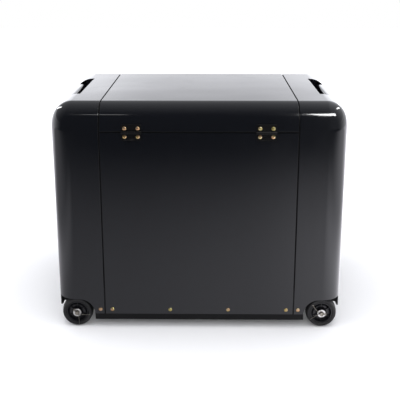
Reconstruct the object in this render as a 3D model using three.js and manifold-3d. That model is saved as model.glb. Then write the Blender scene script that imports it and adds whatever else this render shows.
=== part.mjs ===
// Solar suitcase kit: a wheeled sheet-steel power case with a hinged lid.
// Millimetres, +Z up, standing on z = 0. The rear (hinge) face looks towards -Y and
// the case is as wide along X. The origin is under the middle of the case.

import * as THREE from "three";
import { mergeVertices } from "three/addons/utils/BufferGeometryUtils.js";
import Module from "manifold-3d";

const wasm = await Module();
wasm.setup();

// ---------------------------------------------------------------- driving dimensions

const CASE = { width: 692, depth: 556, top: 554, roofRadius: 62, endRadius: 48 };
const SKIN = 2; // painted sheet
const GAP = 0.3; // clearance between pieces that touch
const PANEL_WIDTH = 460; // seam to seam across the lid and the front and rear panels
const SEAM = 2;
const LID_SEAM_Z = 490.5;
const FOOT_Z = 37; // lower edge of the panels
const CAP_FOOT_Z = 74.5; // lower edge of the end caps over the wheels

const WHEEL = { x: 300, radius: 37.5, width: 34, face: 8, rim: 27, dish: 24.6, bore: 5.15 };
const AXLE_RADIUS = 5;
const ARCH_RADIUS = CAP_FOOT_Z - FOOT_Z;
const ARCH_X = WHEEL.x - 7.5;

const PAN = { sheet: 2.5, floor: 46, rim: 104 };
const SKIRT = { step: 5, behind: 1, overlap: 8, foot: 6, cornerFoot: 49, cornerReach: 30 }; // with the step for the cap
const WELL = { x: 246, y: 218, roof: 86 };
const BRACKET = { y: 190, thick: 4, width: 40, foot: 27 };
const RAIL = { bottom: 18, reach: 243, nose: 256, noseTop: 38, depth: 34, out: 268 };

const FLANGE = { depth: 10, endGap: 1 };
const HOOP = { half: 12, thick: 2.5, border: 1.5 };
const SEAL = { width: 6, thick: 2.6 };

const GRIP = { inner: 292, length: 250, lipX: 326, lipDrop: 12.5, flush: 38, depth: 64, wall: 2, rimDrop: 1.2 };

const LID_FRAME = { reach: 212, band: 14, thick: 2.5, barDepth: 14, barHeight: 12 };
const STRIKER = { from: 12, to: 34, hanger: 7, sheet: 2.5, drop: 14, ledgeOut: 3, tieLow: 6.5, tieIn: 12 };

const HINGE = { x: 155, out: 4.3, knuckle: 4, pin: 2, width: 46, height: 38, leaf: 2.5, near: 2 };
const KNUCKLES = [
  { leaf: "case", from: -HINGE.width / 2, to: -8.2 },
  { leaf: "lid", from: -7.8, to: 7.8 },
  { leaf: "case", from: 8.2, to: HINGE.width / 2 },
];
const BARREL_GAP = { round: 0.6, end: 0.4, pin: 0.15, rivet: 0.8 };
const SCREW_SPACING = { x: 30.4, z: 19.1 };
const SCREW = { radius: 4.75, height: 3 };

const HUB = { proud: 1.5, boss: 9, waist: 10.5, root: 12, dishDepth: 10, rimDrop: 2 };
const TYRE = { shoulder: 4.5, crown: 1.2, bead: 4, beadDepth: 3 };
const WASHER = { radius: 10, inner: 5.4, thick: 1.6 };
const PIN = { shank: 1.3, leg: 0.8, legLength: 27, splay: 45, knee: 1.5, eye: 2.2, ahead: 1.7 };
const COLLAR = { radius: 8, gap: 1 };
const AXLE_END = 3.4; // the axle reaches this far past its split pin

// Each wheel's corner, and the turn of its split pin about the axle in degrees.
const WHEELS = [
  { name: "rear_left", x: -1, y: -1, pinTurn: 45 },
  { name: "rear_right", x: 1, y: -1, pinTurn: 188 },
  { name: "front_left", x: -1, y: 1, pinTurn: 20 },
  { name: "front_right", x: 1, y: 1, pinTurn: 160 },
];

const LOCK = { x: 155, z: 458, knob: 16, disc: 3, knobLength: 9, wing: 3.5, shaft: 6, bore: 6.5 };
const TONGUE = { low: 256, high: 259, length: 26, width: 14, chamfer: 2 };

const INLET = { tube: 8.5, bore: 6, hole: 9, depth: 26, boreDepth: 20, flange: 3, border: 3 };
const EAR = { out: 9, height: 8 };
const FLAP = { y: -158, z: 372, width: 28, height: 27, proud: 12, pivotOut: 6.3, pivotUp: 15 };
const VENT = { width: 130, height: 62, z: 300, proud: 12, louvres: 4, plate: 2.5, side: 12, top: 10 };
const HOOD = { top: 6, sheet: 1.5, inset: 2, slotLow: 3, slotHigh: 3.5 };

const BATTERY = { length: 330, width: 172, height: 214, x: -78, apart: 8, cover: 22, post: 8 };
const INVERTER = { length: 260, width: 190, height: 86, x: 194, fin: 6, pitch: 19, finHeight: 14 };
const CONTROLLER = { x: [-300, -200], reach: 80, height: 60, finX: -306, finDrop: 68, fin: 8, pitch: 20 };
const DECK = { z: 415, thick: 3 };
const OUTLET = { x: 120, y: 60, width: 90, lip: 5, body: 38, rim: 4, below: 36 };
const SWITCH = { x: -120, y: 95, width: 22, length: 30, lip: 4, rim: 3, below: 24, wall: 2 };
const ROCKER = { inset: 4.6, side: 3, low: 6, dip: 5, high: 10, skirt: 2, keel: 8, keelHalf: 4 };

// ---------------------------------------------------------------- shape helpers

const HALF_PANEL = PANEL_WIDTH / 2;
const HALF_WIDTH = CASE.width / 2;
const HALF_DEPTH = CASE.depth / 2;
const FAR = 2000;

function solid(geometry) {
  const bare = geometry.clone();
  bare.deleteAttribute("normal");
  bare.deleteAttribute("uv");
  const merged = mergeVertices(bare, 1e-4);
  return new wasm.Manifold(
    new wasm.Mesh({
      numProp: 3,
      vertProperties: new Float32Array(merged.attributes.position.array),
      triVerts: new Uint32Array(merged.index.array),
    }),
  );
}

function geometryOf(shape) {
  const mesh = shape.getMesh();
  const indexed = new THREE.BufferGeometry();
  indexed.setAttribute("position", new THREE.BufferAttribute(mesh.vertProperties, 3));
  indexed.setIndex(new THREE.BufferAttribute(mesh.triVerts, 1));
  const flat = indexed.toNonIndexed();
  flat.computeVertexNormals();
  return flat;
}

function join(shapes) {
  return shapes.reduce((sum, shape) => sum.add(shape));
}

// A box between two values on each axis.
function box([x0, x1], [y0, y1], [z0, z1]) {
  const geometry = new THREE.BoxGeometry(x1 - x0, y1 - y0, z1 - z0);
  return solid(geometry.translate((x0 + x1) / 2, (y0 + y1) / 2, (z0 + z1) / 2));
}

function shapeOf(points) {
  return new THREE.Shape(points.map(([u, v]) => new THREE.Vector2(u, v)));
}

function extruded(shape, depth, options = {}) {
  return new THREE.ExtrudeGeometry(shape, { depth, bevelEnabled: false, curveSegments: 6, ...options });
}

// Turns an extrusion's own axes: the outline lies in YZ and it grows along +X.
const ALONG_X = new THREE.Matrix4().makeBasis(
  new THREE.Vector3(0, 1, 0),
  new THREE.Vector3(0, 0, 1),
  new THREE.Vector3(1, 0, 0),
);

// The outline lies in XZ and the extrusion grows along -Y.
const ALONG_Y = new THREE.Matrix4().makeBasis(
  new THREE.Vector3(1, 0, 0),
  new THREE.Vector3(0, 0, 1),
  new THREE.Vector3(0, -1, 0),
);

// The outline is drawn as (z, x) and the extrusion grows along +Y.
const ALONG_HOOD = new THREE.Matrix4().makeBasis(
  new THREE.Vector3(0, 0, 1),
  new THREE.Vector3(1, 0, 0),
  new THREE.Vector3(0, 1, 0),
);

function prismX(shape, x0, x1) {
  return solid(extruded(shape, x1 - x0).applyMatrix4(ALONG_X).translate(x0, 0, 0));
}

function prismY(shape, y0, y1) {
  return solid(extruded(shape, y1 - y0).applyMatrix4(ALONG_Y).translate(0, y1, 0));
}

function cylinderX(radius, x0, x1, y, z, sides = 24) {
  const geometry = new THREE.CylinderGeometry(radius, radius, x1 - x0, sides);
  return solid(geometry.rotateZ(-Math.PI / 2).translate((x0 + x1) / 2, y, z));
}

function cylinderY(radius, y0, y1, x, z, sides = 24) {
  const geometry = new THREE.CylinderGeometry(radius, radius, y1 - y0, sides);
  return solid(geometry.translate(x, (y0 + y1) / 2, z));
}

function mirrorX(shape) {
  return shape.mirror([1, 0, 0]);
}

function mirrorY(shape) {
  return shape.mirror([0, 1, 0]);
}

// ---------------------------------------------------------------- scene graph

const kit = new THREE.Group();
kit.name = "solar_suitcase_kit";

const FINISHES = {
  gloss_charcoal: { color: 0x2b2c30, roughness: 0.2, metalness: 0.3 },
  black_steel: { color: 0x0e0e10, roughness: 0.5, metalness: 0.3 },
  black_plastic: { color: 0x131315, roughness: 0.45, metalness: 0 },
  grey_plastic: { color: 0x3a3c40, roughness: 0.6, metalness: 0 },
  tyre_rubber: { color: 0x232325, roughness: 0.75, metalness: 0 },
  seal_rubber: { color: 0x0b0b0c, roughness: 0.85, metalness: 0 },
  bright_steel: { color: 0xbfc1c4, roughness: 0.3, metalness: 1 },
  yellow_zinc: { color: 0xb99d5a, roughness: 0.35, metalness: 1 },
  aluminium: { color: 0xa9abae, roughness: 0.4, metalness: 1 },
};
const materials = Object.fromEntries(
  Object.entries(FINISHES).map(([name, look]) => [name, new THREE.MeshStandardMaterial(look)]),
);

function add(name, shape, finish, group = kit) {
  const mesh = new THREE.Mesh(shape.isBufferGeometry ? shape : geometryOf(shape), materials[finish]);
  mesh.name = name;
  group.add(mesh);
  return mesh;
}

// ---------------------------------------------------------------- case form

// The case's YZ outline, moved inwards by inset. It runs on far below the case.
function caseOutline(inset) {
  const side = HALF_DEPTH - inset;
  const top = CASE.top - inset;
  const radius = CASE.roofRadius - inset;
  const outline = new THREE.Shape();
  outline.moveTo(-side, -CASE.endRadius * 2);
  outline.lineTo(side, -CASE.endRadius * 2);
  outline.absarc(side - radius, top - radius, radius, 0, Math.PI / 2);
  outline.absarc(radius - side, top - radius, radius, Math.PI / 2, Math.PI);
  return outline;
}

// The whole rounded block inside a surface that lies inset below the paint.
function caseBlock(inset) {
  const round = CASE.endRadius - inset;
  const straight = CASE.width - 2 * CASE.endRadius;
  const geometry = extruded(caseOutline(inset), straight, {
    bevelEnabled: true,
    bevelThickness: round,
    bevelSize: round,
    bevelOffset: -round,
    bevelSegments: 5,
  });
  return solid(geometry.applyMatrix4(ALONG_X).translate(-straight / 2, 0, 0));
}

const skin = caseBlock(0).subtract(caseBlock(SKIN));
const inside = caseBlock(SKIN + GAP);

function sheetBand(x0, x1, outer, inner) {
  return prismX(caseOutline(outer), x0, x1).subtract(prismX(caseOutline(inner), x0 - 1, x1 + 1));
}

// ---------------------------------------------------------------- base

function wheelWell() {
  const block = box([WELL.x - PAN.sheet, FAR], [-FAR, -WELL.y + PAN.sheet], [PAN.floor, WELL.roof + PAN.sheet]);
  const hollow = box([WELL.x, FAR], [-FAR, -WELL.y], [-FAR, WELL.roof]);
  return { block, hollow };
}

// A plate under the floor that holds one axle.
function axleBracket() {
  const half = BRACKET.width / 2;
  const y0 = -BRACKET.y - BRACKET.thick / 2;
  const plate = box([WHEEL.x - half, WHEEL.x + half], [y0, y0 + BRACKET.thick], [BRACKET.foot, PAN.floor + 1]);
  return plate.subtract(cylinderY(AXLE_RADIUS + GAP, y0 - 1, y0 + BRACKET.thick + 1, WHEEL.x, WHEEL.radius));
}

function fourCorners(shape) {
  const pair = [shape, mirrorX(shape)];
  return join([...pair, ...pair.map(mirrorY)]);
}

// The side skirt closes the case below the end cap, flush with its paint, and runs a little way round
// each corner, past the wheel.
function sideSkirt() {
  const reach = WELL.y;
  const corner = skin.intersect(
    box(
      [HALF_WIDTH - 10, HALF_WIDTH],
      [-reach - SKIRT.cornerReach, reach + SKIRT.cornerReach],
      [SKIRT.cornerFoot, CAP_FOOT_Z - GAP],
    ),
  );
  const plate = box([HALF_WIDTH - SKIN, HALF_WIDTH], [-reach, reach], [FOOT_Z, CAP_FOOT_Z - GAP]);
  const joggle = box(
    [HALF_WIDTH - SKIRT.step, HALF_WIDTH - SKIRT.behind],
    [-reach, reach],
    [PAN.floor + SKIRT.foot, CAP_FOOT_Z - SKIRT.overlap],
  );
  return join([corner, plate, joggle]);
}

function basePan() {
  const shell = inside.intersect(box([-FAR, FAR], [-FAR, FAR], [PAN.floor, PAN.rim]));
  const hollow = caseBlock(SKIN + GAP + PAN.sheet).intersect(
    box([-FAR, FAR], [-FAR, FAR], [PAN.floor + PAN.sheet, FAR]),
  );
  const well = wheelWell();
  const blocks = fourCorners(well.block).intersect(inside);
  const skirts = sideSkirt();
  return shell
    .subtract(hollow)
    .add(blocks)
    .subtract(fourCorners(well.hollow))
    .add(skirts)
    .add(mirrorX(skirts))
    .add(fourCorners(axleBracket()))
    .add(baseRail())
    .add(mirrorY(baseRail()));
}

// A C-channel skid welded under the front or rear edge of the floor, open towards the middle. Past the
// floor its web is lower, and it ends just inboard of the wheels.
function baseRail() {
  const top = PAN.floor + 1;
  const strip = (reach, depth, low, high) =>
    box([-reach, reach], [-RAIL.out, -RAIL.out + depth], [low, high]);
  return join([
    strip(RAIL.reach, PAN.sheet, RAIL.bottom, top),
    strip(RAIL.nose, PAN.sheet, RAIL.bottom, RAIL.noseTop),
    strip(RAIL.reach, RAIL.depth, top - PAN.sheet, top),
    strip(RAIL.nose, RAIL.depth, RAIL.bottom, RAIL.bottom + PAN.sheet),
  ]);
}

add("base_pan", basePan(), "black_steel");

// ---------------------------------------------------------------- shells

const seamEdge = HALF_PANEL - SEAM / 2;

// The rear panel with the folded flange that carries the seal.
function rearPanel() {
  const top = LID_SEAM_Z - SEAM / 2;
  const sheet = skin.intersect(box([-seamEdge, seamEdge], [-FAR, 0], [FOOT_Z, top]));
  const reach = HALF_PANEL - HOOP.half - FLANGE.endGap;
  const y0 = -HALF_DEPTH + SKIN / 2;
  const flange = box([-reach, reach], [y0, -HALF_DEPTH + FLANGE.depth], [top - SKIN, top]);
  return sheet.add(flange);
}

// The front panel is the rear one turned round, with two holes for the lock shafts.
function frontPanel() {
  const hole = (x) => cylinderY(LOCK.bore, HALF_DEPTH - 20, HALF_DEPTH + 5, x, LOCK.z);
  return mirrorY(rearPanel()).subtract(hole(LOCK.x)).subtract(hole(-LOCK.x));
}

// The part of an end cap that is kept: full height between the seam and the wheel arch.
function capOutline() {
  const outline = new THREE.Shape();
  outline.moveTo(HALF_PANEL + SEAM / 2, FOOT_Z);
  outline.lineTo(ARCH_X - ARCH_RADIUS, FOOT_Z);
  outline.absarc(ARCH_X, FOOT_Z, ARCH_RADIUS, Math.PI, Math.PI / 2, true);
  outline.lineTo(CASE.width, CAP_FOOT_Z);
  outline.lineTo(CASE.width, CASE.width);
  outline.lineTo(HALF_PANEL + SEAM / 2, CASE.width);
  return outline;
}

function endCap() {
  const kept = skin.intersect(prismY(capOutline(), -FAR, FAR));
  const half = GRIP.length / 2;
  const gripHole = box([GRIP.inner, FAR], [-half, half], [CASE.top - GRIP.flush, FAR]);
  const ventY = VENT.width / 2 - VENT.side;
  const ventZ = VENT.height / 2 - VENT.top;
  const ventHole = box([HALF_WIDTH - 10, FAR], [-ventY, ventY], [VENT.z - ventZ, VENT.z + ventZ]);
  return kept.subtract(gripHole).subtract(ventHole);
}

const inletHole = cylinderX(INLET.hole, HALF_WIDTH - 10, HALF_WIDTH + 5, FLAP.y, FLAP.z);

add("rear_panel", rearPanel(), "gloss_charcoal");
add("front_panel", frontPanel(), "gloss_charcoal");
add("end_cap_right", endCap().subtract(inletHole), "gloss_charcoal");
add("end_cap_left", mirrorX(endCap()), "gloss_charcoal");

// An arched band behind each seam: a channel that holds the seal under the lid's edge,
// and a raised border that the end cap is fixed to.
const hoopOuter = SKIN + GAP + SEAL.thick + GAP;
const hoopInner = hoopOuter + HOOP.thick;
function hoop() {
  const channel = sheetBand(HALF_PANEL - HOOP.half, HALF_PANEL + 2, hoopOuter, hoopInner);
  const border = sheetBand(HALF_PANEL + HOOP.border, HALF_PANEL + HOOP.half, SKIN + GAP, hoopInner);
  const above = box([-FAR, FAR], [-FAR, FAR], [PAN.rim + GAP, FAR]);
  return channel.add(border).intersect(above);
}

add("hoop_right", hoop(), "black_steel");
add("hoop_left", mirrorX(hoop()), "black_steel");

// ---------------------------------------------------------------- grips

// One carrying grip: a pocket for the fingers behind a rounded lip in the cap's shoulder.
function grip() {
  const top = CASE.top;
  const half = GRIP.length / 2 - GAP;
  const wall = GRIP.wall;
  const inner = GRIP.inner + GAP;
  const side = HALF_WIDTH;
  const flush = top - GRIP.flush + GAP;
  const floor = top - GRIP.depth;
  const rim = top - GRIP.rimDrop;
  const lip = new THREE.Vector2(GRIP.lipX, top - GRIP.lipDrop);
  const body = new THREE.Shape();
  body.moveTo(inner, rim);
  body.lineTo(inner, floor);
  body.lineTo(side, floor);
  body.lineTo(side, flush);
  body.quadraticCurveTo(side - 6, flush + 12, lip.x + 1, lip.y);
  body.quadraticCurveTo(lip.x - 1, lip.y + 0.5, lip.x - 2, lip.y - 3);
  body.lineTo(lip.x - 2, rim);
  const under = side - SKIN - GAP - 2 * wall; // the pocket's outer wall, inside the cap's sheet
  const pocket = new THREE.Shape();
  pocket.moveTo(inner + wall, top + 10);
  pocket.lineTo(inner + wall, floor + wall);
  pocket.lineTo(under, floor + wall);
  pocket.lineTo(under, flush - 8);
  pocket.quadraticCurveTo(lip.x + 5, flush + 12, lip.x - 2, lip.y - 5);
  pocket.lineTo(lip.x - 2, top + 10);
  const full = prismY(body, -half, half).subtract(prismY(pocket, -half + wall, half - wall));
  const underSkin = box([0, FAR], [-FAR, FAR], [0, flush]).subtract(inside);
  return full.intersect(caseBlock(0)).subtract(underSkin);
}

add("grip_right", grip(), "gloss_charcoal");
add("grip_left", mirrorX(grip()), "gloss_charcoal");

// ---------------------------------------------------------------- lid

const lidFoot = LID_SEAM_Z + SEAM / 2;

function lidShell() {
  return skin.intersect(box([-seamEdge, seamEdge], [-FAR, FAR], [lidFoot, FAR]));
}

// The hanging striker that a lock's tongue swings over.
function striker() {
  const across = [LOCK.x + STRIKER.from, LOCK.x + STRIKER.to];
  const back = TONGUE.low - STRIKER.hanger;
  const foot = LOCK.z - STRIKER.drop;
  const tieZ = lidFoot + STRIKER.tieLow;
  const hanger = box(across, [back, back + STRIKER.sheet], [foot, tieZ + STRIKER.sheet]);
  const ledge = box(across, [back + 2, TONGUE.high + STRIKER.ledgeOut], [foot, foot + STRIKER.sheet]);
  const tie = box(across, [back, HALF_DEPTH - STRIKER.tieIn], [tieZ, tieZ + STRIKER.sheet]);
  return join([hanger, ledge, tie]);
}

// Two arched bands tied by a bar along the front and one along the rear edge.
function lidFrame() {
  const { reach, band, thick, barDepth, barHeight } = LID_FRAME;
  const outer = SKIN + GAP;
  const bands = [-reach, reach - band].map((x) => sheetBand(x, x + band, outer, outer + thick));
  const rearBar = box(
    [-reach, reach],
    [-HALF_DEPTH + outer, -HALF_DEPTH + barDepth],
    [lidFoot, lidFoot + barHeight],
  );
  const bars = rearBar.add(mirrorY(rearBar));
  const above = box([-FAR, FAR], [-FAR, FAR], [lidFoot + GAP, FAR]);
  const frame = join([...bands, bars]).intersect(above).intersect(prismX(caseOutline(outer), -FAR, FAR));
  return frame.add(striker()).add(mirrorX(striker()));
}

// The seal lies on the panel flanges and up over both hoops.
function lidSeal() {
  const outer = SKIN + GAP;
  const x0 = HALF_PANEL - HOOP.half;
  const arches = [x0, -x0 - SEAL.width].map((x) => sheetBand(x, x + SEAL.width, outer, outer + SEAL.thick));
  const foot = LID_SEAM_Z - SEAM / 2 + GAP;
  const back = -HALF_DEPTH + outer;
  const bar = box([GAP - x0, x0 - GAP], [back, -HALF_DEPTH + FLANGE.depth], [foot, lidFoot]);
  const corner = box([-x0 - SEAL.width, x0 + SEAL.width], [back, back + SEAL.thick], [foot, lidFoot]);
  const run = bar.add(corner);
  const above = box([-FAR, FAR], [-FAR, FAR], [foot, FAR]);
  return join([...arches, run, mirrorY(run)]).intersect(above);
}

add("lid_shell", lidShell(), "gloss_charcoal");
add("lid_frame", lidFrame(), "black_steel");
add("lid_seal", lidSeal(), "seal_rubber");

// ---------------------------------------------------------------- hinges

const hingeY = -HALF_DEPTH - HINGE.out;
const leafTop = -HALF_DEPTH - GAP;
// One leaf with its knuckles. up is 1 for the lid's leaf and -1 for the case's.
function hingeLeaf(leaf, up) {
  const half = HINGE.width / 2;
  const near = LID_SEAM_Z + up * HINGE.near;
  const far = LID_SEAM_Z + (up * HINGE.height) / 2;
  const plate = box([-half, half], [leafTop - HINGE.leaf, leafTop], [Math.min(near, far), Math.max(near, far)]);
  const barrels = KNUCKLES.filter((k) => k.leaf === leaf).map((k) =>
    cylinderX(HINGE.knuckle, k.from, k.to, hingeY, LID_SEAM_Z, 20),
  );
  const relief = KNUCKLES.filter((k) => k.leaf !== leaf).map((k) =>
    cylinderX(
      HINGE.knuckle + BARREL_GAP.round,
      k.from - BARREL_GAP.end,
      k.to + BARREL_GAP.end,
      hingeY,
      LID_SEAM_Z,
      20,
    ),
  );
  const bore = cylinderX(HINGE.pin + BARREL_GAP.pin, -half - 1, half + 1, hingeY, LID_SEAM_Z, 16);
  return plate.subtract(join(relief)).add(join(barrels)).subtract(bore);
}

// A domed screw head with a square-cut cross recess.
function screwHead(radius, height) {
  const dome = new THREE.LatheGeometry(
    [
      new THREE.Vector2(0, 0),
      new THREE.Vector2(radius, 0),
      new THREE.Vector2(radius * 0.94, height * 0.55),
      new THREE.Vector2(radius * 0.6, height * 0.92),
      new THREE.Vector2(0, height),
    ],
    12,
  );
  const slot = (a, b) => box([-a, a], [height * 0.45, height * 2], [-b, b]);
  const long = radius * 0.55;
  const thin = radius * 0.14;
  return solid(dome).subtract(slot(long, thin)).subtract(slot(thin, long));
}

// The screws' heads are modelled along +Y; the rear ones are turned to face -Y.
const hingeScrew = geometryOf(screwHead(SCREW.radius, SCREW.height));

for (const [name, side] of [["left", -1], ["right", 1]]) {
  const hinge = new THREE.Group();
  hinge.position.x = side * HINGE.x;
  kit.add(hinge);
  add(`hinge_leaf_case_${name}`, hingeLeaf("case", -1), "black_steel", hinge);
  add(`hinge_leaf_lid_${name}`, hingeLeaf("lid", 1), "black_steel", hinge);
  const pinHalf = HINGE.width / 2 + BARREL_GAP.rivet;
  const pin = cylinderX(HINGE.pin, -pinHalf, pinHalf, hingeY, LID_SEAM_Z, 16);
  add(`hinge_pin_${name}`, pin, "black_steel", hinge);
  for (const [level, up] of [["case", -1], ["lid", 1]]) {
    for (const [place, across] of [["outer", side], ["inner", -side]]) {
      const screw = add(`hinge_screw_${level}_${name}_${place}`, hingeScrew, "yellow_zinc", hinge);
      const x = (across * SCREW_SPACING.x) / 2;
      screw.position.set(x, leafTop - HINGE.leaf - GAP, LID_SEAM_Z + (up * SCREW_SPACING.z) / 2);
      screw.rotation.z = Math.PI;
    }
  }
}

// ---------------------------------------------------------------- wheels

const wheelFace = HALF_DEPTH - WHEEL.face;

function lathe(points, segments = 24) {
  return solid(new THREE.LatheGeometry(points.map(([r, y]) => new THREE.Vector2(r, y)), segments));
}

// The wheel's own axis is Y: its outer face is at y = 0 and it reaches back to y = width.
function tyre() {
  const { radius, width, rim } = WHEEL;
  const { shoulder, crown, bead, beadDepth } = TYRE;
  const inner = rim + 0.2;
  return lathe([
    [inner, beadDepth],
    [inner + bead, 0],
    [radius - shoulder, 0],
    [radius - crown, 5],
    [radius, width / 2],
    [radius - crown, width - 5],
    [radius - shoulder, width],
    [inner + bead, width],
    [inner, width - beadDepth],
    [inner, beadDepth],
  ]);
}

function hub() {
  const { width, rim, dish, bore } = WHEEL;
  const { proud, boss, waist, root, dishDepth, rimDrop } = HUB;
  return lathe([
    [bore, -proud],
    [boss, -proud],
    [waist, 6],
    [root, dishDepth],
    [dish - 3, dishDepth],
    [dish - 1, rimDrop],
    [rim, rimDrop],
    [rim, width - rimDrop],
    [dish - 1, width - rimDrop],
    [dish - 3, width - dishDepth],
    [root, width - dishDepth],
    [waist, width - 4],
    [boss, width + 1],
    [bore, width + 1],
    [bore, -proud],
  ]);
}

function washer() {
  const { radius, inner, thick } = WASHER;
  return lathe([[inner, 0], [radius, 0], [radius, thick], [inner, thick], [inner, 0]]);
}

// A round bar between two points.
function rod(radius, from, to, sides = 6) {
  const start = new THREE.Vector3(...from);
  const along = new THREE.Vector3(...to).sub(start);
  const geometry = new THREE.CylinderGeometry(radius, radius, along.length(), sides);
  geometry.translate(0, along.length() / 2, 0);
  const turn = new THREE.Quaternion().setFromUnitVectors(new THREE.Vector3(0, 1, 0), along.clone().normalize());
  return solid(geometry.applyQuaternion(turn).translate(start.x, start.y, start.z));
}

// A split pin through the axle's end: an eye on one side, two spread legs on the other.
// It is modelled about the axle's axis with its legs towards +X.
function splitPin() {
  const knee = AXLE_RADIUS + PIN.knee;
  const eye = new THREE.TorusGeometry(PIN.eye, PIN.leg, 5, 10);
  eye.rotateX(Math.PI / 2);
  eye.translate(-knee - PIN.eye - PIN.leg, 0, 0);
  const legs = [-1, 1].map((up) => {
    const angle = THREE.MathUtils.degToRad(PIN.splay) * up;
    const end = [knee + Math.cos(angle) * PIN.legLength, 0, Math.sin(angle) * PIN.legLength];
    return rod(PIN.leg, [knee - 0.6, 0, (up * PIN.leg) / 2], end);
  });
  return join([rod(PIN.shank, [-knee - 1.2, 0, 0], [knee, 0, 0], 8), solid(eye), ...legs]);
}

const tyreGeometry = geometryOf(tyre());
const hubGeometry = geometryOf(hub());
const washerGeometry = geometryOf(washer());
const pinGeometry = geometryOf(splitPin());
const washerY = -HUB.proud - GAP - WASHER.thick;
const pinY = washerY - PIN.ahead; // the split pin crosses here, before the wheel's face

for (const { name, x, y, pinTurn } of WHEELS) {
  const corner = new THREE.Group();
  corner.position.set(x * WHEEL.x, y * wheelFace, WHEEL.radius);
  corner.rotation.z = y > 0 ? Math.PI : 0;
  kit.add(corner);
  add(`tyre_${name}`, tyreGeometry, "tyre_rubber", corner);
  add(`wheel_hub_${name}`, hubGeometry, "black_plastic", corner);
  const ring = add(`washer_${name}`, washerGeometry, "bright_steel", corner);
  ring.position.y = washerY;
  const pin = add(`split_pin_${name}`, pinGeometry, "bright_steel", corner);
  pin.position.y = pinY;
  pin.rotation.y = THREE.MathUtils.degToRad(pinTurn);
}

// A through axle with a cross hole at each end for its split pin, and a collar behind each hub.
function axle(side) {
  const half = wheelFace - pinY + AXLE_END;
  const bar = cylinderY(AXLE_RADIUS, -half, half, 0, 0);
  const collarFrom = wheelFace - WHEEL.width - COLLAR.gap - GAP;
  const collar = cylinderY(COLLAR.radius, -collarFrom, -BRACKET.y - BRACKET.thick / 2 - GAP, 0, 0, 20);
  const holes = WHEELS.filter((w) => w.x === side).map((w) => {
    const turn = THREE.MathUtils.degToRad(w.pinTurn);
    const facing = w.y > 0 ? Math.PI : 0;
    const across = new THREE.Vector3(10, 0, 0)
      .applyAxisAngle(new THREE.Vector3(0, 1, 0), turn)
      .applyAxisAngle(new THREE.Vector3(0, 0, 1), facing);
    const y = w.y * (wheelFace - pinY);
    return rod(PIN.shank + 0.35, [-across.x, y, -across.z], [across.x, y, across.z], 8);
  });
  return bar.add(collar).add(mirrorY(collar)).subtract(join(holes));
}

for (const [name, side] of [["left", -1], ["right", 1]]) {
  const mesh = add(`axle_${name}`, axle(side), "bright_steel");
  mesh.position.set(side * WHEEL.x, 0, WHEEL.radius);
}

// ---------------------------------------------------------------- locks

function lockKnob() {
  const outer = HALF_DEPTH + GAP;
  const disc = cylinderY(LOCK.knob, outer, outer + LOCK.disc, 0, 0, 28);
  const reach = LOCK.knob - 2;
  const wing = box([-LOCK.wing, LOCK.wing], [outer + LOCK.disc - 1, outer + LOCK.knobLength], [-reach, reach]);
  const shaft = cylinderY(LOCK.shaft, TONGUE.high + GAP, outer + 1, 0, 0, 20);
  return join([disc, wing, shaft]);
}

// The tongue points up when the lock is open.
function lockTongue() {
  const half = TONGUE.width / 2;
  const { length, chamfer } = TONGUE;
  const outline = new THREE.Shape();
  outline.moveTo(half, 0);
  outline.lineTo(half, length - chamfer);
  outline.lineTo(half - chamfer, length);
  outline.lineTo(chamfer - half, length);
  outline.lineTo(-half, length - chamfer);
  outline.lineTo(-half, 0);
  outline.absarc(0, 0, half, Math.PI, 2 * Math.PI);
  return prismY(outline, TONGUE.low, TONGUE.high);
}

for (const [name, side] of [["left", -1], ["right", 1]]) {
  for (const [piece, shape, finish] of [
    ["lock_knob", lockKnob(), "black_plastic"],
    ["lock_tongue", lockTongue(), "bright_steel"],
  ]) {
    const mesh = add(`${piece}_${name}`, shape, finish);
    mesh.position.set(side * LOCK.x, 0, LOCK.z);
  }
}

// ---------------------------------------------------------------- inlet and vents

// The charging inlet on the right side: a flanged socket with ears for the flap's pin.
function inletSocket() {
  const half = FLAP.width / 2 + INLET.border;
  const face = HALF_WIDTH + GAP;
  const top = half + 2;
  const flange = box([face, face + INLET.flange], [-half, half], [-half, top]);
  const tube = cylinderX(INLET.tube, HALF_WIDTH - INLET.depth, face + 1, 0, 0);
  const bore = cylinderX(INLET.bore, HALF_WIDTH - INLET.boreDepth, FAR, 0, 0);
  const earX = [face + INLET.flange - 1, face + EAR.out];
  const ears = [-half, FLAP.width / 2 + GAP].map((y) =>
    box(earX, [y, y + INLET.border - GAP], [top - EAR.height, top]),
  );
  return join([flange, tube, ...ears]).subtract(bore).translate([0, FLAP.y, FLAP.z]);
}

// A wedge-shaped rain flap that hangs from its upper edge.
const flapPivot = { x: HALF_WIDTH + FLAP.pivotOut, z: FLAP.z + FLAP.pivotUp };
function inletFlap() {
  const half = FLAP.width / 2 - GAP;
  const near = HALF_WIDTH + INLET.flange + 2 * GAP;
  const out = HALF_WIDTH + FLAP.proud;
  const outline = shapeOf([
    [near, flapPivot.z - 2.6],
    [near, flapPivot.z - FLAP.height],
    [out - 2, flapPivot.z - FLAP.height],
    [out, flapPivot.z - FLAP.height + 3],
    [out - 1, flapPivot.z - 8],
    [flapPivot.x + 2.2, flapPivot.z + 1.4],
    [flapPivot.x, flapPivot.z + 2.6],
    [flapPivot.x - 1.8, flapPivot.z + 1.8],
  ]);
  return prismY(outline, FLAP.y - half, FLAP.y + half);
}

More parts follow.
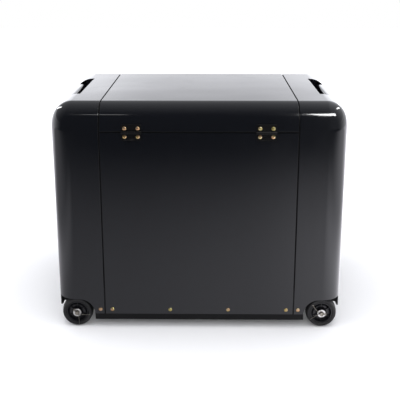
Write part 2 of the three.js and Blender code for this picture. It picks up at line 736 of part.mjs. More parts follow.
// A louvred cowl over the cut-out in each end cap.
function ventCowl() {
  const halfY = VENT.width / 2;
  const halfZ = VENT.height / 2;
  const face = HALF_WIDTH + GAP;
  const out = HALF_WIDTH + VENT.proud;
  const plate = box([face, face + VENT.plate], [-halfY, halfY], [VENT.z - halfZ, VENT.z + halfZ]);
  const pitch = (VENT.height - 16) / VENT.louvres;
  const reach = halfY - VENT.side;
  const hoods = [];
  const slots = [];
  for (let i = 0; i < VENT.louvres; i += 1) {
    const top = VENT.z + halfZ - HOOD.top - i * pitch;
    const foot = top - pitch;
    const hood = new THREE.Shape();
    hood.moveTo(top, face + 1);
    hood.lineTo(top, face + VENT.plate);
    hood.quadraticCurveTo(foot + 5, face + 3.5, foot + 1 + HOOD.sheet, out);
    hood.lineTo(foot + 1, out);
    hood.quadraticCurveTo(foot + 3.5, face + HOOD.sheet, top - 2.5, face + 1);
    hoods.push(solid(extruded(hood, 2 * reach).applyMatrix4(ALONG_HOOD).translate(0, -reach, 0)));
    const across = reach - HOOD.inset;
    slots.push(box([face - 1, face + 5], [-across, across], [foot + HOOD.slotLow, top - HOOD.slotHigh]));
  }
  return plate.subtract(join(slots)).add(join(hoods));
}

add("inlet_socket", inletSocket(), "black_plastic");
add("inlet_flap", inletFlap(), "black_plastic");
add("vent_cowl_right", ventCowl(), "black_plastic");
add("vent_cowl_left", mirrorX(ventCowl()), "black_plastic");

// ---------------------------------------------------------------- inside

const floorTop = PAN.floor + PAN.sheet + GAP;

function battery() {
  const { length, width, height, cover, post } = BATTERY;
  const halfX = length / 2;
  const halfY = width / 2;
  const inset = 3;
  const body = box([-halfX, halfX], [-halfY, halfY], [0, height - cover]);
  const topX = halfX - inset;
  const topY = halfY - inset;
  const top = box([-topX, topX], [-topY, topY], [height - cover, height - post]);
  const posts = [-1, 1].map((side) => {
    const x = side * (halfX - 30);
    return box([x - post, x + post], [14 - halfY, 14 + 2 * post - halfY], [height - post - 1, height]);
  });
  return join([body, top, ...posts]);
}

function inverter() {
  const { length, width, height, fin, pitch, finHeight } = INVERTER;
  const along = [-length / 2, length / 2];
  const body = box([-width / 2, width / 2], along, [0, height - finHeight]);
  const fins = [];
  for (let x = -width / 2; x + fin <= width / 2; x += pitch) {
    fins.push(box([x, x + fin], along, [height - finHeight - 1, height]));
  }
  return join([body, ...fins]);
}

for (const [name, side] of [["rear", -1], ["front", 1]]) {
  const mesh = add(`battery_${name}`, battery(), "grey_plastic");
  mesh.position.set(BATTERY.x, side * (BATTERY.width / 2 + BATTERY.apart), floorTop);
}
const inverterMesh = add("inverter", inverter(), "aluminium");
inverterMesh.position.set(INVERTER.x, 0, floorTop);

// The control deck, with cut-outs for the outlet plate and the switch.
function deck() {
  const plate = caseBlock(hoopInner + GAP).intersect(
    box([-FAR, FAR], [-FAR, FAR], [DECK.z, DECK.z + DECK.thick]),
  );
  const half = OUTLET.width / 2 - OUTLET.lip;
  const cutOutlet = box([OUTLET.x - half, OUTLET.x + half], [OUTLET.y - half, OUTLET.y + half], [0, FAR]);
  const halfX = SWITCH.width / 2 + 1;
  const halfY = SWITCH.length / 2 + 1;
  const cutSwitch = box([SWITCH.x - halfX, SWITCH.x + halfX], [SWITCH.y - halfY, SWITCH.y + halfY], [0, FAR]);
  return plate.subtract(cutOutlet).subtract(cutSwitch);
}

const plateTop = DECK.z + DECK.thick + GAP;

function outletPlate() {
  const { x, y, width, body, rim, below } = OUTLET;
  const half = width / 2;
  const plate = box([x - half, x + half], [y - half, y + half], [plateTop, plateTop + rim]);
  return plate.add(box([x - body, x + body], [y - body, y + body], [DECK.z - below, plateTop + 1]));
}

function switchFrame() {
  const { x, y, width, length, lip, rim, below, wall } = SWITCH;
  const block = (grow, low, high) => {
    const halfX = width / 2 + grow;
    const halfY = length / 2 + grow;
    return box([x - halfX, x + halfX], [y - halfY, y + halfY], [low, high]);
  };
  const body = block(lip, plateTop, plateTop + rim).add(block(0, DECK.z - below, plateTop + 1));
  return body.subtract(block(-wall, DECK.z - below + wall, FAR));
}

// The rocker turns about X, under its saddle-shaped top.
const switchPivotZ = DECK.z + 1;
function rocker() {
  const { x, y, width, length } = SWITCH;
  const { inset, side, low, dip, high, skirt, keel, keelHalf } = ROCKER;
  const half = length / 2 - inset;
  const outline = new THREE.Shape();
  outline.moveTo(y - half, switchPivotZ + low);
  outline.quadraticCurveTo(y, switchPivotZ + dip, y + half, switchPivotZ + high);
  outline.lineTo(y + half - skirt, switchPivotZ - skirt);
  outline.lineTo(y + keelHalf, switchPivotZ - keel);
  outline.lineTo(y - keelHalf, switchPivotZ - keel);
  outline.lineTo(y - half + skirt, switchPivotZ - skirt);
  return prismX(outline, x - width / 2 + side, x + width / 2 - side);
}

// The charge controller hangs under the deck on the left.
function chargeController() {
  const { x, reach, height, finX, finDrop, fin, pitch } = CONTROLLER;
  const top = DECK.z - GAP;
  const body = box(x, [-reach, reach], [top - height, top]);
  const fins = [];
  for (let y = 10 - reach; y < reach - fin; y += pitch) {
    fins.push(box([finX, x[1]], [y, y + fin], [top - finDrop, top - 20]));
  }
  return join([body, ...fins]);
}

add("control_deck", deck(), "black_plastic");
add("outlet_plate", outletPlate(), "grey_plastic");
add("switch_frame", switchFrame(), "black_plastic");
add("switch_rocker", rocker(), "black_plastic");
add("charge_controller", chargeController(), "aluminium");

export default kit;
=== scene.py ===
"""Solar suitcase kit: the painted, turned and moulded pieces around the fixed frame.

Everything is in metres, +Z up. The rear (hinge) face looks towards -Y.
"""

import math

import bmesh
import bpy
from mathutils import Matrix, Vector


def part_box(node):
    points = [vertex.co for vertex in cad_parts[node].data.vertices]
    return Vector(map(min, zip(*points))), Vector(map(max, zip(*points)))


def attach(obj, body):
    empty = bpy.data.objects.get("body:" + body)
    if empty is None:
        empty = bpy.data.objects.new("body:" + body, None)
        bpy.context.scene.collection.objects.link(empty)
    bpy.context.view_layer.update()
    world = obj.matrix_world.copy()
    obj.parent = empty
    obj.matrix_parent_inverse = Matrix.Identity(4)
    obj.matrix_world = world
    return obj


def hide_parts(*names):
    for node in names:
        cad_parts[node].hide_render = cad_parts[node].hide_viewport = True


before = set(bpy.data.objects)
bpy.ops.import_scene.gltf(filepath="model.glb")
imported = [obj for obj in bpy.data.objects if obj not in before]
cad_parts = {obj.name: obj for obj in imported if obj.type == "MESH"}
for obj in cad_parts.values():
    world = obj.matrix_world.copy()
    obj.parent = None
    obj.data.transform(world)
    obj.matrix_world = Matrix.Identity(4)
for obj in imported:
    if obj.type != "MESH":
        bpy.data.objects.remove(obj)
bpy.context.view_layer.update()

MM = 0.001
X, Y, Z = Vector((1, 0, 0)), Vector((0, 1, 0)), Vector((0, 0, 1))
SIDES = (("left", -1), ("right", 1))
FAR = 2.0

# ------------------------------------------------------------------ sizes from the frame

CAP_LOW, CAP_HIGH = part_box("end_cap_right")
PANEL_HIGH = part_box("rear_panel")[1]
LID_LOW, LID_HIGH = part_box("lid_shell")
HALF_WIDTH, HALF_DEPTH, TOP = CAP_HIGH.x, CAP_HIGH.y, CAP_HIGH.z
FOOT = CAP_LOW.z
LID_SEAM = (PANEL_HIGH.z + LID_LOW.z) / 2
SEAM_TRIM = 0.6 * MM  # taken off each edge along a seam, for the paint's dark gap
SEAM_EDGE = LID_HIGH.x - SEAM_TRIM
CAP_EDGE = CAP_LOW.x + SEAM_TRIM
PANEL_TOP = PANEL_HIGH.z - SEAM_TRIM
LID_FOOT = LID_LOW.z + SEAM_TRIM

ROOF_RADIUS = 62 * MM
END_RADIUS = 48 * MM
SKIN = 2 * MM
SHEET_EDGE = 0.5 * MM
FLANGE_HALF, FLANGE_REACH = 218 * MM, 10 * MM
ROOF_STEPS, END_STEPS = 20, 16

WHEEL_LOW, WHEEL_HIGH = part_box("tyre_rear_right")
WHEEL_X = (WHEEL_LOW.x + WHEEL_HIGH.x) / 2
WHEEL_RADIUS = (WHEEL_HIGH.z - WHEEL_LOW.z) / 2
WHEEL_FACE = -WHEEL_LOW.y
WHEEL_WIDTH = WHEEL_HIGH.y - WHEEL_LOW.y
HUB_FACE = -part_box("wheel_hub_rear_right")[0].y
AXLE_RADIUS = 5 * MM
COLLAR_RADIUS, COLLAR_LENGTH = 8 * MM, 42.4 * MM
COLLAR_STARTS = (192.3 * MM, -234.7 * MM)
WASHER_BORE, WASHER_RADIUS, WASHER_THICKNESS = 5.4 * MM, 10 * MM, 1.6 * MM
HUB_PROUD = HUB_FACE - WHEEL_FACE
PIN_TURNS = {"rear_left": 45, "rear_right": 188, "front_left": 20, "front_right": 160}
PIN_Y = -HUB_PROUD - 3.6 * MM
ARCH_FOOT = 74.5 * MM
ARCH_RADIUS = ARCH_FOOT - FOOT
ARCH_X = WHEEL_X - 7.5 * MM

GRIP_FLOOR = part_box("grip_right")[0].z
GRIP_HALF = 125 * MM
GRIP_INNER = 292 * MM
GRIP_FLUSH = TOP - 38 * MM
BEAD_X, BEAD_Z, BEAD_RADIUS = 320.5 * MM, TOP - 18 * MM, 5.5 * MM

PIN_LOW, PIN_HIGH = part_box("hinge_pin_right")
HINGE_X = (PIN_LOW.x + PIN_HIGH.x) / 2
HINGE_Y = (PIN_LOW.y + PIN_HIGH.y) / 2
HINGE_HALF = 23 * MM
KNUCKLE, KNUCKLE_BORE, HINGE_PIN = 4 * MM, 2.15 * MM, 2 * MM
KNUCKLE_RELIEF = 0.6 * MM
MIDDLE_KNUCKLE, KNUCKLE_GAP = 7.8 * MM, 0.4 * MM
LEAF = 2.5 * MM
LEAF_BACK = -HALF_DEPTH - 0.3 * MM
LEAF_REACH = 19 * MM
SCREW_STEP = Vector((15.2 * MM, 0, 9.55 * MM))
SCREW_RADIUS = 4.75 * MM
SCREW_HEIGHT = 2.9 * MM

FOOT_SCREW_Z = 49 * MM
FOOT_SCREWS = (-212 * MM, -70.6 * MM, 70.6 * MM, 212 * MM)
CAP_SCREW = 241 * MM

INLET_BARREL, INLET_BORE, INLET_CONTACT = 8.5 * MM, 6 * MM, 1.3 * MM
CAP_INLET_HOLE = 9 * MM
LOCK_HOLE, LOCK_SHAFT = 6.5 * MM, 6 * MM
LOCK_BORE = 2 * MM  # the skirt's bore, which the shaft and the wing fill
VENT_MARGIN = Vector((0, 12, 10)) * MM
LOUVRES = 4

DECK_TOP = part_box("control_deck")[1].z
DECK_ROW = 4  # breakers, charging sockets and status lenses each come in fours
OUTLET_LOW, OUTLET_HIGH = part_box("outlet_plate")
OUTLET_WELL, OUTLET_EARTH = 17 * MM, 2.4 * MM
SLOT_X, SLOT_WIDTH, SLOT_LENGTH = 6.5, 2, 8  # millimetres
SOCKET_BORE, SOCKET_RADIUS = 5 * MM, 9 * MM
ON_AXIS = 0.01 * MM  # the innermost radius of a turned outline that closes on its axis


# ------------------------------------------------------------------ shader arithmetic


class Value:
    """One socket of a node tree, so that shader maths reads as plain arithmetic."""

    def __init__(self, tree, socket):
        self.tree = tree
        self.socket = socket

    def maths(self, operation, *terms):
        node = self.tree.nodes.new("ShaderNodeMath")
        node.operation = operation
        for slot, term in zip(node.inputs, terms):
            plug(self.tree, slot, term)
        return Value(self.tree, node.outputs[0])

    def __add__(self, other):
        return self.maths("ADD", self, other)

    __radd__ = __add__

    def __mul__(self, other):
        return self.maths("MULTIPLY", self, other)

    __rmul__ = __mul__

    def __sub__(self, other):
        return self.maths("SUBTRACT", self, other)

    def __rsub__(self, other):
        return self.maths("SUBTRACT", other, self)

    def __pow__(self, other):
        return self.maths("POWER", self, other)

    def above(self, edge, softness):
        """0 below edge, 1 above it, with a soft step between."""
        node = self.tree.nodes.new("ShaderNodeMapRange")
        node.interpolation_type = "SMOOTHSTEP"
        plug(self.tree, node.inputs["Value"], self)
        node.inputs["From Min"].default_value = edge - softness
        node.inputs["From Max"].default_value = edge + softness
        return Value(self.tree, node.outputs["Result"])


def plug(tree, slot, term):
    if isinstance(term, Value):
        tree.links.new(term.socket, slot)
    elif isinstance(term, tuple) and len(term) == 3 and len(slot.default_value) == 4:
        slot.default_value = (*term, 1)
    else:
        slot.default_value = term


class Finish:
    """A material being made: node() adds any node, surface() sets the shader's sockets."""

    def __init__(self, name):
        self.material = bpy.data.materials.new(name)
        self.material.use_nodes = True
        self.tree = self.material.node_tree
        self.shader = self.tree.nodes["Principled BSDF"]
        self.place = self.node("ShaderNodeTexCoord", {}, {}, "Object")

    def node(self, kind, settings, sockets, output=0):
        made = self.tree.nodes.new(kind)
        for name, setting in settings.items():
            setattr(made, name, setting)
        for name, term in sockets.items():
            plug(self.tree, made.inputs[name], term)
        return Value(self.tree, made.outputs[output])

    def noise(self, scale, detail=3.0, stretch=None):
        place = self.place
        if stretch:
            place = self.node("ShaderNodeMapping", {}, {"Vector": place, "Scale": stretch})
        return self.node("ShaderNodeTexNoise", {}, {"Vector": place, "Scale": scale, "Detail": detail})

    def cells(self, scale):
        return self.node("ShaderNodeTexVoronoi", {}, {"Vector": self.place, "Scale": scale})

    def blend(self, amount, first, second):
        node = self.tree.nodes.new("ShaderNodeMix")
        node.data_type = "RGBA"
        plug(self.tree, node.inputs["Factor"], amount)
        plug(self.tree, node.inputs[6], first)
        plug(self.tree, node.inputs[7], second)
        return Value(self.tree, node.outputs[2])

    def bumps(self, *layers):
        """Each layer is (height, depth in metres)."""
        normal = None
        for height, depth in layers:
            sockets = {"Height": height, "Distance": depth, "Strength": 1.0}
            if normal:
                sockets["Normal"] = normal
            normal = self.node("ShaderNodeBump", {}, sockets)
        return normal

    def surface(self, **sockets):
        for name, term in sockets.items():
            plug(self.tree, self.shader.inputs[name.replace("_", " ")], term)
        return self.material


# ------------------------------------------------------------------ finishes


def gloss_charcoal():
    """Stove enamel over sheet: near black, a hair blue, faintly wavy, with dust and hairlines."""
    f = Finish("gloss_charcoal_enamel")
    drift = f.noise(2.2, 2.0)
    peel = f.noise(420.0, 2.0)
    wave = f.noise(5.0, 1.0)
    dust = f.cells(260.0).above(0.045, 0.02)
    patchy = f.noise(9.0, 4.0).above(0.5, 0.2)
    specks = (1.0 - dust) * patchy
    smears = f.noise(16.0, 5.0, stretch=(1.0, 1.0, 0.22)).above(0.62, 0.12)
    hairlines = f.noise(60.0, 2.0, stretch=(0.08, 1.0, 1.6)).above(0.74, 0.03)
    colour = f.blend(drift, (0.0030, 0.0035, 0.0050), (0.0044, 0.0050, 0.0066))
    colour = f.blend(specks * 0.5, colour, (0.10, 0.10, 0.10))
    rough = 0.055 + 0.035 * drift + 0.07 * smears + 0.06 * hairlines + 0.25 * specks
    return f.surface(
        Base_Color=colour,
        Roughness=rough,
        IOR=1.5,
        Normal=f.bumps((wave, 0.5 * MM), (peel, 0.004 * MM), (specks, 0.02 * MM)),
    )


def black_steel():
    """Satin powder coat with its fine leathery grain, rubbed along a few ridges."""
    f = Finish("black_powder_coat")
    grain = f.noise(900.0, 2.0)
    lumps = f.cells(520.0)
    rub = f.noise(28.0, 5.0).above(0.63, 0.07)
    colour = f.blend(f.noise(12.0), (0.0040, 0.0040, 0.0044), (0.0075, 0.0075, 0.0080))
    colour = f.blend(rub * 0.3, colour, (0.022, 0.021, 0.021))
    return f.surface(
        Base_Color=colour,
        Roughness=0.42 + 0.14 * grain + 0.10 * rub,
        Specular_IOR_Level=0.22,
        Normal=f.bumps((grain, 0.03 * MM), (lumps, 0.03 * MM)),
    )


def hinge_black():
    """Blackened pressed steel, worn brighter in patches."""
    f = Finish("blackened_hinge_steel")
    grain = f.noise(700.0, 3.0)
    wear = f.noise(140.0, 5.0).above(0.66, 0.06)
    colour = f.blend(wear * 0.6, (0.0024, 0.0024, 0.0027), (0.035, 0.032, 0.028))
    return f.surface(
        Base_Color=colour,
        Metallic=0.4 * wear,
        Roughness=0.34 + 0.16 * grain,
        Specular_IOR_Level=0.2,
        Normal=f.bumps((grain, 0.02 * MM)),
    )


def yellow_zinc():
    """Yellow chromate over zinc: brass, olive and pink by turns, with bare glints."""
    f = Finish("yellow_chromate_zinc")
    tone = f.noise(55.0, 2.0)
    warm = f.blend(tone.above(0.5, 0.12), (0.66, 0.56, 0.20), (0.80, 0.50, 0.27))
    bare = f.noise(230.0, 3.0).above(0.58, 0.08)
    colour = f.blend(bare * 0.6, warm, (0.82, 0.78, 0.68))
    scratch = f.noise(1500.0, 3.0, stretch=(1.0, 1.0, 0.3))
    return f.surface(
        Base_Color=colour,
        Metallic=1.0,
        Roughness=0.24 + 0.22 * scratch,
        Normal=f.bumps((scratch, 0.015 * MM)),
    )


def bright_steel(name="bright_turned_steel", tint=(0.72, 0.71, 0.69), dark=(0.36, 0.34, 0.31)):
    """Zinc-plated turned steel with tool marks and a little tarnish."""
    f = Finish(name)
    tarnish = f.noise(160.0, 5.0).above(0.6, 0.12)
    marks = f.noise(1800.0, 2.0)
    return f.surface(
        Base_Color=f.blend(tarnish * 0.7, tint, dark),
        Metallic=1.0,
        Roughness=0.22 + 0.16 * marks + 0.2 * tarnish,
        Normal=f.bumps((marks, 0.01 * MM)),
    )


def tyre_rubber():
    """Hard black rubber, matt, with road dust caught in its grain."""
    f = Finish("hard_black_rubber")
    grain = f.noise(650.0, 4.0)
    dust = f.noise(38.0, 5.0).above(0.55, 0.15)
    colour = f.blend(dust * 0.5, (0.0135, 0.0135, 0.0145), (0.034, 0.032, 0.031))
    return f.surface(
        Base_Color=colour,
        Roughness=0.60 + 0.15 * grain + 0.08 * dust,
        Normal=f.bumps((grain, 0.05 * MM)),
    )


def wheel_plastic():
    """Glossy moulded hub, with flow lines and fine dust."""
    f = Finish("moulded_hub_black")
    flow = f.noise(45.0, 3.0)
    dust = f.noise(420.0, 4.0).above(0.66, 0.06)
    return f.surface(
        Base_Color=f.blend(dust * 0.3, (0.0045, 0.0045, 0.006), (0.05, 0.05, 0.052)),
        Roughness=0.16 + 0.12 * flow + 0.25 * dust,
        Normal=f.bumps((flow, 0.12 * MM)),
    )


def moulded(name, dark, light, grain_scale=1100.0, rough=0.5, shine=0.5):
    """Moulded plastic with a spark-eroded grain."""
    f = Finish(name)
    grain = f.cells(grain_scale)
    cloud = f.noise(20.0, 4.0)
    rub = f.noise(70.0, 5.0).above(0.64, 0.08)
    return f.surface(
        Base_Color=f.blend(cloud, dark, light),
        Roughness=rough + 0.12 * grain - 0.12 * rub,
        Specular_IOR_Level=shine,
        Normal=f.bumps((grain, 0.035 * MM)),
    )


def aluminium():
    """Extruded and anodised: fine drawing lines along Y."""
    f = Finish("drawn_aluminium")
    lines = f.noise(900.0, 3.0, stretch=(1.0, 0.02, 1.0))
    cloud = f.noise(18.0, 4.0)
    return f.surface(
        Base_Color=f.blend(cloud, (0.42, 0.43, 0.44), (0.60, 0.60, 0.61)),
        Metallic=1.0,
        Roughness=0.30 + 0.18 * lines,
        Normal=f.bumps((lines, 0.02 * MM)),
    )


def lamp(name, colour, strength):
    """A lit lens or a display's backlight behind faint ripples."""
    f = Finish(name)
    ripple = f.noise(240.0, 2.0)
    return f.surface(
        Base_Color=f.blend(ripple, colour, tuple(0.6 * c for c in colour)),
        Emission_Color=f.blend(ripple, colour, tuple(0.7 * c for c in colour)),
        Emission_Strength=strength,
        Roughness=0.18 + 0.1 * ripple,
    )


PAINT = gloss_charcoal()
STEEL_BLACK = black_steel()
HINGE_BLACK = hinge_black()
ZINC = yellow_zinc()
BRIGHT = bright_steel()
AXLE_STEEL = bright_steel("dull_axle_steel", (0.30, 0.28, 0.24), (0.13, 0.12, 0.10))
RUBBER = tyre_rubber()
HUB_BLACK = wheel_plastic()
BLACK_PLASTIC = moulded("grained_black_plastic", (0.010, 0.010, 0.011), (0.016, 0.016, 0.017))
GREY_PLASTIC = moulded("grained_grey_plastic", (0.055, 0.058, 0.064), (0.075, 0.078, 0.084))
SEAL_RUBBER = moulded("soft_seal_rubber", (0.003, 0.003, 0.003), (0.006, 0.006, 0.006), 500.0, 0.75, 0.15)
ALUMINIUM = aluminium()
RED_PLASTIC = moulded("red_terminal_plastic", (0.35, 0.012, 0.010), (0.45, 0.020, 0.014))
GREEN_LAMP = lamp("green_lens", (0.05, 0.55, 0.12), 0.6)
DISPLAY = lamp("display_backlight", (0.10, 0.22, 0.30), 0.35)


# ------------------------------------------------------------------ mesh helpers


def arc(centre, radius, start, end, steps):
    """Points on an arc in a plane, with angles in degrees."""
    turn = (math.radians(start + (end - start) * i / steps) for i in range(steps + 1))
    return [(centre[0] + radius * math.cos(a), centre[1] + radius * math.sin(a)) for a in turn]


def curve(start, pull, end, steps):
    """Points on a quadratic curve, without its first point."""
    points = []
    for i in range(1, steps + 1):
        t = i / steps
        weights = ((1 - t) ** 2, 2 * t * (1 - t), t * t)
        points.append(tuple(sum(w * p[k] for w, p in zip(weights, (start, pull, end))) for k in (0, 1)))
    return points


def add_box(bm, low, high):
    """An upright box between two corners."""
    low, high = Vector(low), Vector(high)
    size = Matrix.Diagonal((*(high - low), 1))
    return bmesh.ops.create_cube(bm, size=1, matrix=Matrix.Translation((low + high) / 2) @ size)["verts"]


def box_mesh(low, high):
    bm = bmesh.new()
    add_box(bm, low, high)
    return bm


def prism(outline, axis, start, end):
    """A closed outline drawn across one axis and extruded along it.

    The outline's points are (y, z) for axis X, (x, z) for axis Y and (x, y) for axis Z.
    """
    bm = bmesh.new()
    across = [direction for direction in (X, Y, Z) if axis.dot(direction) == 0]
    ring = [bm.verts.new(axis * start + across[0] * u + across[1] * v) for u, v in outline]
    face = bm.faces.new(ring)
    grown = bmesh.ops.extrude_face_region(bm, geom=[face])["geom"]
    moved = [g for g in grown if isinstance(g, bmesh.types.BMVert)]
    bmesh.ops.translate(bm, verts=moved, vec=axis * (end - start))
    bmesh.ops.recalc_face_normals(bm, faces=bm.faces)
    return bm


def turned(outline, steps=96):
    """A closed (radius, y) outline turned about the Y axis."""
    bm = bmesh.new()
    ring = [bm.verts.new((radius, y, 0)) for radius, y in outline]
    edges = [bm.edges.new((a, b)) for a, b in zip(ring, ring[1:] + ring[:1])]
    bmesh.ops.spin(
        bm, geom=ring + edges, cent=(0, 0, 0), axis=Y, angle=2 * math.pi, steps=steps, use_merge=True
    )
    bmesh.ops.remove_doubles(bm, verts=bm.verts, dist=1e-6)
    bmesh.ops.recalc_face_normals(bm, faces=bm.faces)
    return bm


def disc(radius, y0, y1, steps=48):
    """A solid round bar along Y."""
    bm = bmesh.new()
    matrix = Matrix.Translation((0, (y0 + y1) / 2, 0)) @ Matrix.Rotation(math.pi / 2, 4, "X")
    bmesh.ops.create_cone(
        bm, cap_ends=True, segments=steps, radius1=radius, radius2=radius, depth=y1 - y0, matrix=matrix
    )
    return bm


def bevel(bm, edges, width, steps):
    bmesh.ops.bevel(
        bm, geom=edges, affect="EDGES", offset=width, offset_type="OFFSET", segments=steps, profile=0.5,
        material=-1, clamp_overlap=False, loop_slide=True,
    )


def tube(path, radius, sides=12):
    """A round rod along a path of points, closed at both ends."""
    bm = bmesh.new()
    rings = []
    for i, point in enumerate(path):
        ahead = path[min(i + 1, len(path) - 1)] - path[max(i - 1, 0)]
        turn = ahead.to_track_quat("Z", "Y").to_matrix().to_4x4()
        ring = bmesh.ops.create_circle(
            bm, cap_ends=i in (0, len(path) - 1), segments=sides, radius=radius,
            matrix=Matrix.Translation(point) @ turn,
        )["verts"]
        rings.append(set(ring))
    for near, far in zip(rings, rings[1:]):
        edges = [e for e in bm.edges if set(e.verts) <= near or set(e.verts) <= far]
        bmesh.ops.bridge_loops(bm, edges=edges)
    bmesh.ops.recalc_face_normals(bm, faces=bm.faces)
    return bm


def put(bm, matrix):
    """The same mesh, moved by a matrix."""
    bm.transform(matrix)
    if matrix.determinant() < 0:
        bmesh.ops.reverse_faces(bm, faces=bm.faces)
    return bm


def shift(x=0.0, y=0.0, z=0.0):
    return Matrix.Translation((x, y, z))


QUARTER_TURN = math.pi / 2
FACE_FRONT = Matrix.Rotation(math.pi, 4, "Z")
FACE_UP = Matrix.Rotation(-QUARTER_TURN, 4, "X")
FACE_RIGHT = Matrix.Rotation(QUARTER_TURN, 4, "Z")
ALONG_X = Matrix.Rotation(-QUARTER_TURN, 4, "Z")
MIRROR_X = Matrix.Diagonal((-1, 1, 1, 1))
MIRROR_Y = Matrix.Diagonal((1, -1, 1, 1))


def gathered(*meshes):
    """Several closed meshes as one."""
    bm = bmesh.new()
    for part in meshes:
        data = bpy.data.meshes.new("part")
        part.to_mesh(data)
        bm.from_mesh(data)
        bpy.data.meshes.remove(data)
    return bm


def carved(bm, tool, operation="DIFFERENCE"):
    """A closed mesh cut by, joined with or kept inside another."""
    target, cutter = [as_object(name, mesh) for name, mesh in (("blank", bm), ("cutter", tool))]
    work = target.modifiers.new("carve", "BOOLEAN")
    work.operation = operation
    work.solver = "EXACT"
    work.object = cutter
    result = bmesh.new()
    result.from_object(target, bpy.context.evaluated_depsgraph_get())
    for scrap in (target, cutter):
        data = scrap.data
        bpy.data.objects.remove(scrap)
        bpy.data.meshes.remove(data)
    bmesh.ops.remove_doubles(result, verts=result.verts, dist=0.004 * MM)
    return result


def as_object(name, bm):
    data = bpy.data.meshes.new(name)
    bm.to_mesh(data)
    piece = bpy.data.objects.new(name, data)
    bpy.context.scene.collection.objects.link(piece)
    return piece


def soften(piece, edge, steps, angle=35):
    """Rounds a piece's sharp edges and keeps its flat faces flat in the light."""
    if edge:
        rounding = piece.modifiers.new("rounding", "BEVEL")
        rounding.width = edge
        rounding.segments = steps
        rounding.limit_method = "ANGLE"
        rounding.angle_limit = math.radians(angle)
        rounding.use_clamp_overlap = False
        rounding.miter_outer = "MITER_ARC"
    shading = piece.modifiers.new("flat_faces", "WEIGHTED_NORMAL")
    shading.weight = 100
    shading.keep_sharp = False


def finished(name, bm, body, material, stands_for=(), edge=0.3 * MM, steps=2, smooth=True):
    """A piece of the object: its mesh, its finish, the body it rides on and the nodes it replaces."""
    piece = as_object(name, bm)
    for face in piece.data.polygons:
        face.use_smooth = smooth
    piece.data.materials.append(material)
    soften(piece, edge, steps)
    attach(piece, body)
    if stands_for:
        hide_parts(*stands_for)


def painted(name, bm, node, body="case", edge=SHEET_EDGE):
    """A piece in the case's paint that stands for one node."""
    finished(name, bm, body, PAINT, [node], edge, 3)


# ------------------------------------------------------------------ painted shells


def case_block(inset):
    """The case's rounded block, inset below the paint and running on below the foot."""
    low = Vector((inset - HALF_WIDTH, inset - HALF_DEPTH, -ROOF_RADIUS))
    high = Vector((HALF_WIDTH - inset, HALF_DEPTH - inset, TOP - inset))
    bm = box_mesh(low, high)
    along_roof = [
        e for e in bm.edges
        if all(abs(v.co.z - high.z) < MM for v in e.verts) and abs(e.verts[0].co.y - e.verts[1].co.y) < MM
    ]
    bevel(bm, along_roof, ROOF_RADIUS - inset, ROOF_STEPS)
    round_ends = [
        e for e in bm.edges
        if all(abs(abs(v.co.x) - high.x) < 0.01 * MM for v in e.verts)
        and (e.verts[0].co.x > 0) == (e.verts[1].co.x > 0)
        and not all(abs(v.co.z - low.z) < MM for v in e.verts)
        and len({round(f.normal.x) for f in e.link_faces}) > 1
    ]
    bevel(bm, round_ends, END_RADIUS - inset, END_STEPS)
    return bm


SKIN_BLOCK = carved(case_block(0), case_block(SKIN))


def from_skin(keep, *holes):
    """The part of the case's sheet inside one closed mesh, with holes cut through it."""
    bm = carved(SKIN_BLOCK.copy(), keep, "INTERSECT")
    for hole in holes:
        bm = carved(bm, hole)
    return bm


def slab(x, y, z):
    return box_mesh((x[0], y[0], z[0]), (x[1], y[1], z[1]))


def panel_with_flange(*holes):
    """The rear panel's sheet and the folded flange behind its top edge."""
    sheet = from_skin(slab((-SEAM_EDGE, SEAM_EDGE), (-FAR, 0), (FOOT, PANEL_TOP)), *holes)
    depth = (-HALF_DEPTH + SKIN / 2, -HALF_DEPTH + FLANGE_REACH)
    flange = slab((-FLANGE_HALF, FLANGE_HALF), depth, (PANEL_TOP - SKIN, PANEL_TOP))
    return carved(sheet, flange, "UNION")


def cap_outline():
    """The kept part of a cap, seen along Y: down to the foot, then up over the wheel."""
    outline = [(CAP_EDGE, FOOT)]
    outline += arc((ARCH_X, FOOT), ARCH_RADIUS, 180, 90, 24)
    outline += [(FAR, ARCH_FOOT), (FAR, FAR), (CAP_EDGE, FAR)]
    return outline


def end_cap(*holes):
    grip_hole = slab((GRIP_INNER, FAR), (-GRIP_HALF, GRIP_HALF), (GRIP_FLUSH, FAR))
    vent_low, vent_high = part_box("vent_cowl_right")
    low = Vector((HALF_WIDTH - 10 * MM, vent_low.y, vent_low.z)) + VENT_MARGIN
    high = Vector((FAR, vent_high.y, vent_high.z)) - VENT_MARGIN
    return from_skin(prism(cap_outline(), Y, -FAR, FAR), grip_hole, box_mesh(low, high), *holes)


def shells():
    painted("rear_shell", panel_with_flange(), "rear_panel")
    knob_low, knob_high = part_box("lock_knob_right")
    lock = Vector(((knob_low.x + knob_high.x) / 2, 0, (knob_low.z + knob_high.z) / 2))
    shafts = [
        put(disc(LOCK_HOLE, -HALF_DEPTH - 5 * MM, -HALF_DEPTH + 20 * MM), shift(side * lock.x, 0, lock.z))
        for _, side in SIDES
    ]
    front = put(panel_with_flange(*shafts), MIRROR_Y)
    painted("front_shell", front, "front_panel")
    socket_low, socket_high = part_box("inlet_socket")
    inlet = Vector((0, (socket_low.y + socket_high.y) / 2, (socket_low.z + socket_high.z) / 2 - MM))
    half = 20 * MM
    hole = put(disc(CAP_INLET_HOLE, -half, half), shift(HALF_WIDTH, inlet.y, inlet.z) @ ALONG_X)
    painted("cap_shell_right", end_cap(hole), "end_cap_right")
    painted("cap_shell_left", put(end_cap(), MIRROR_X), "end_cap_left")
    lid = from_skin(slab((-SEAM_EDGE, SEAM_EDGE), (-FAR, FAR), (LID_FOOT, FAR)))
    painted("lid_skin", lid, "lid_shell", "lid")


# ------------------------------------------------------------------ grips


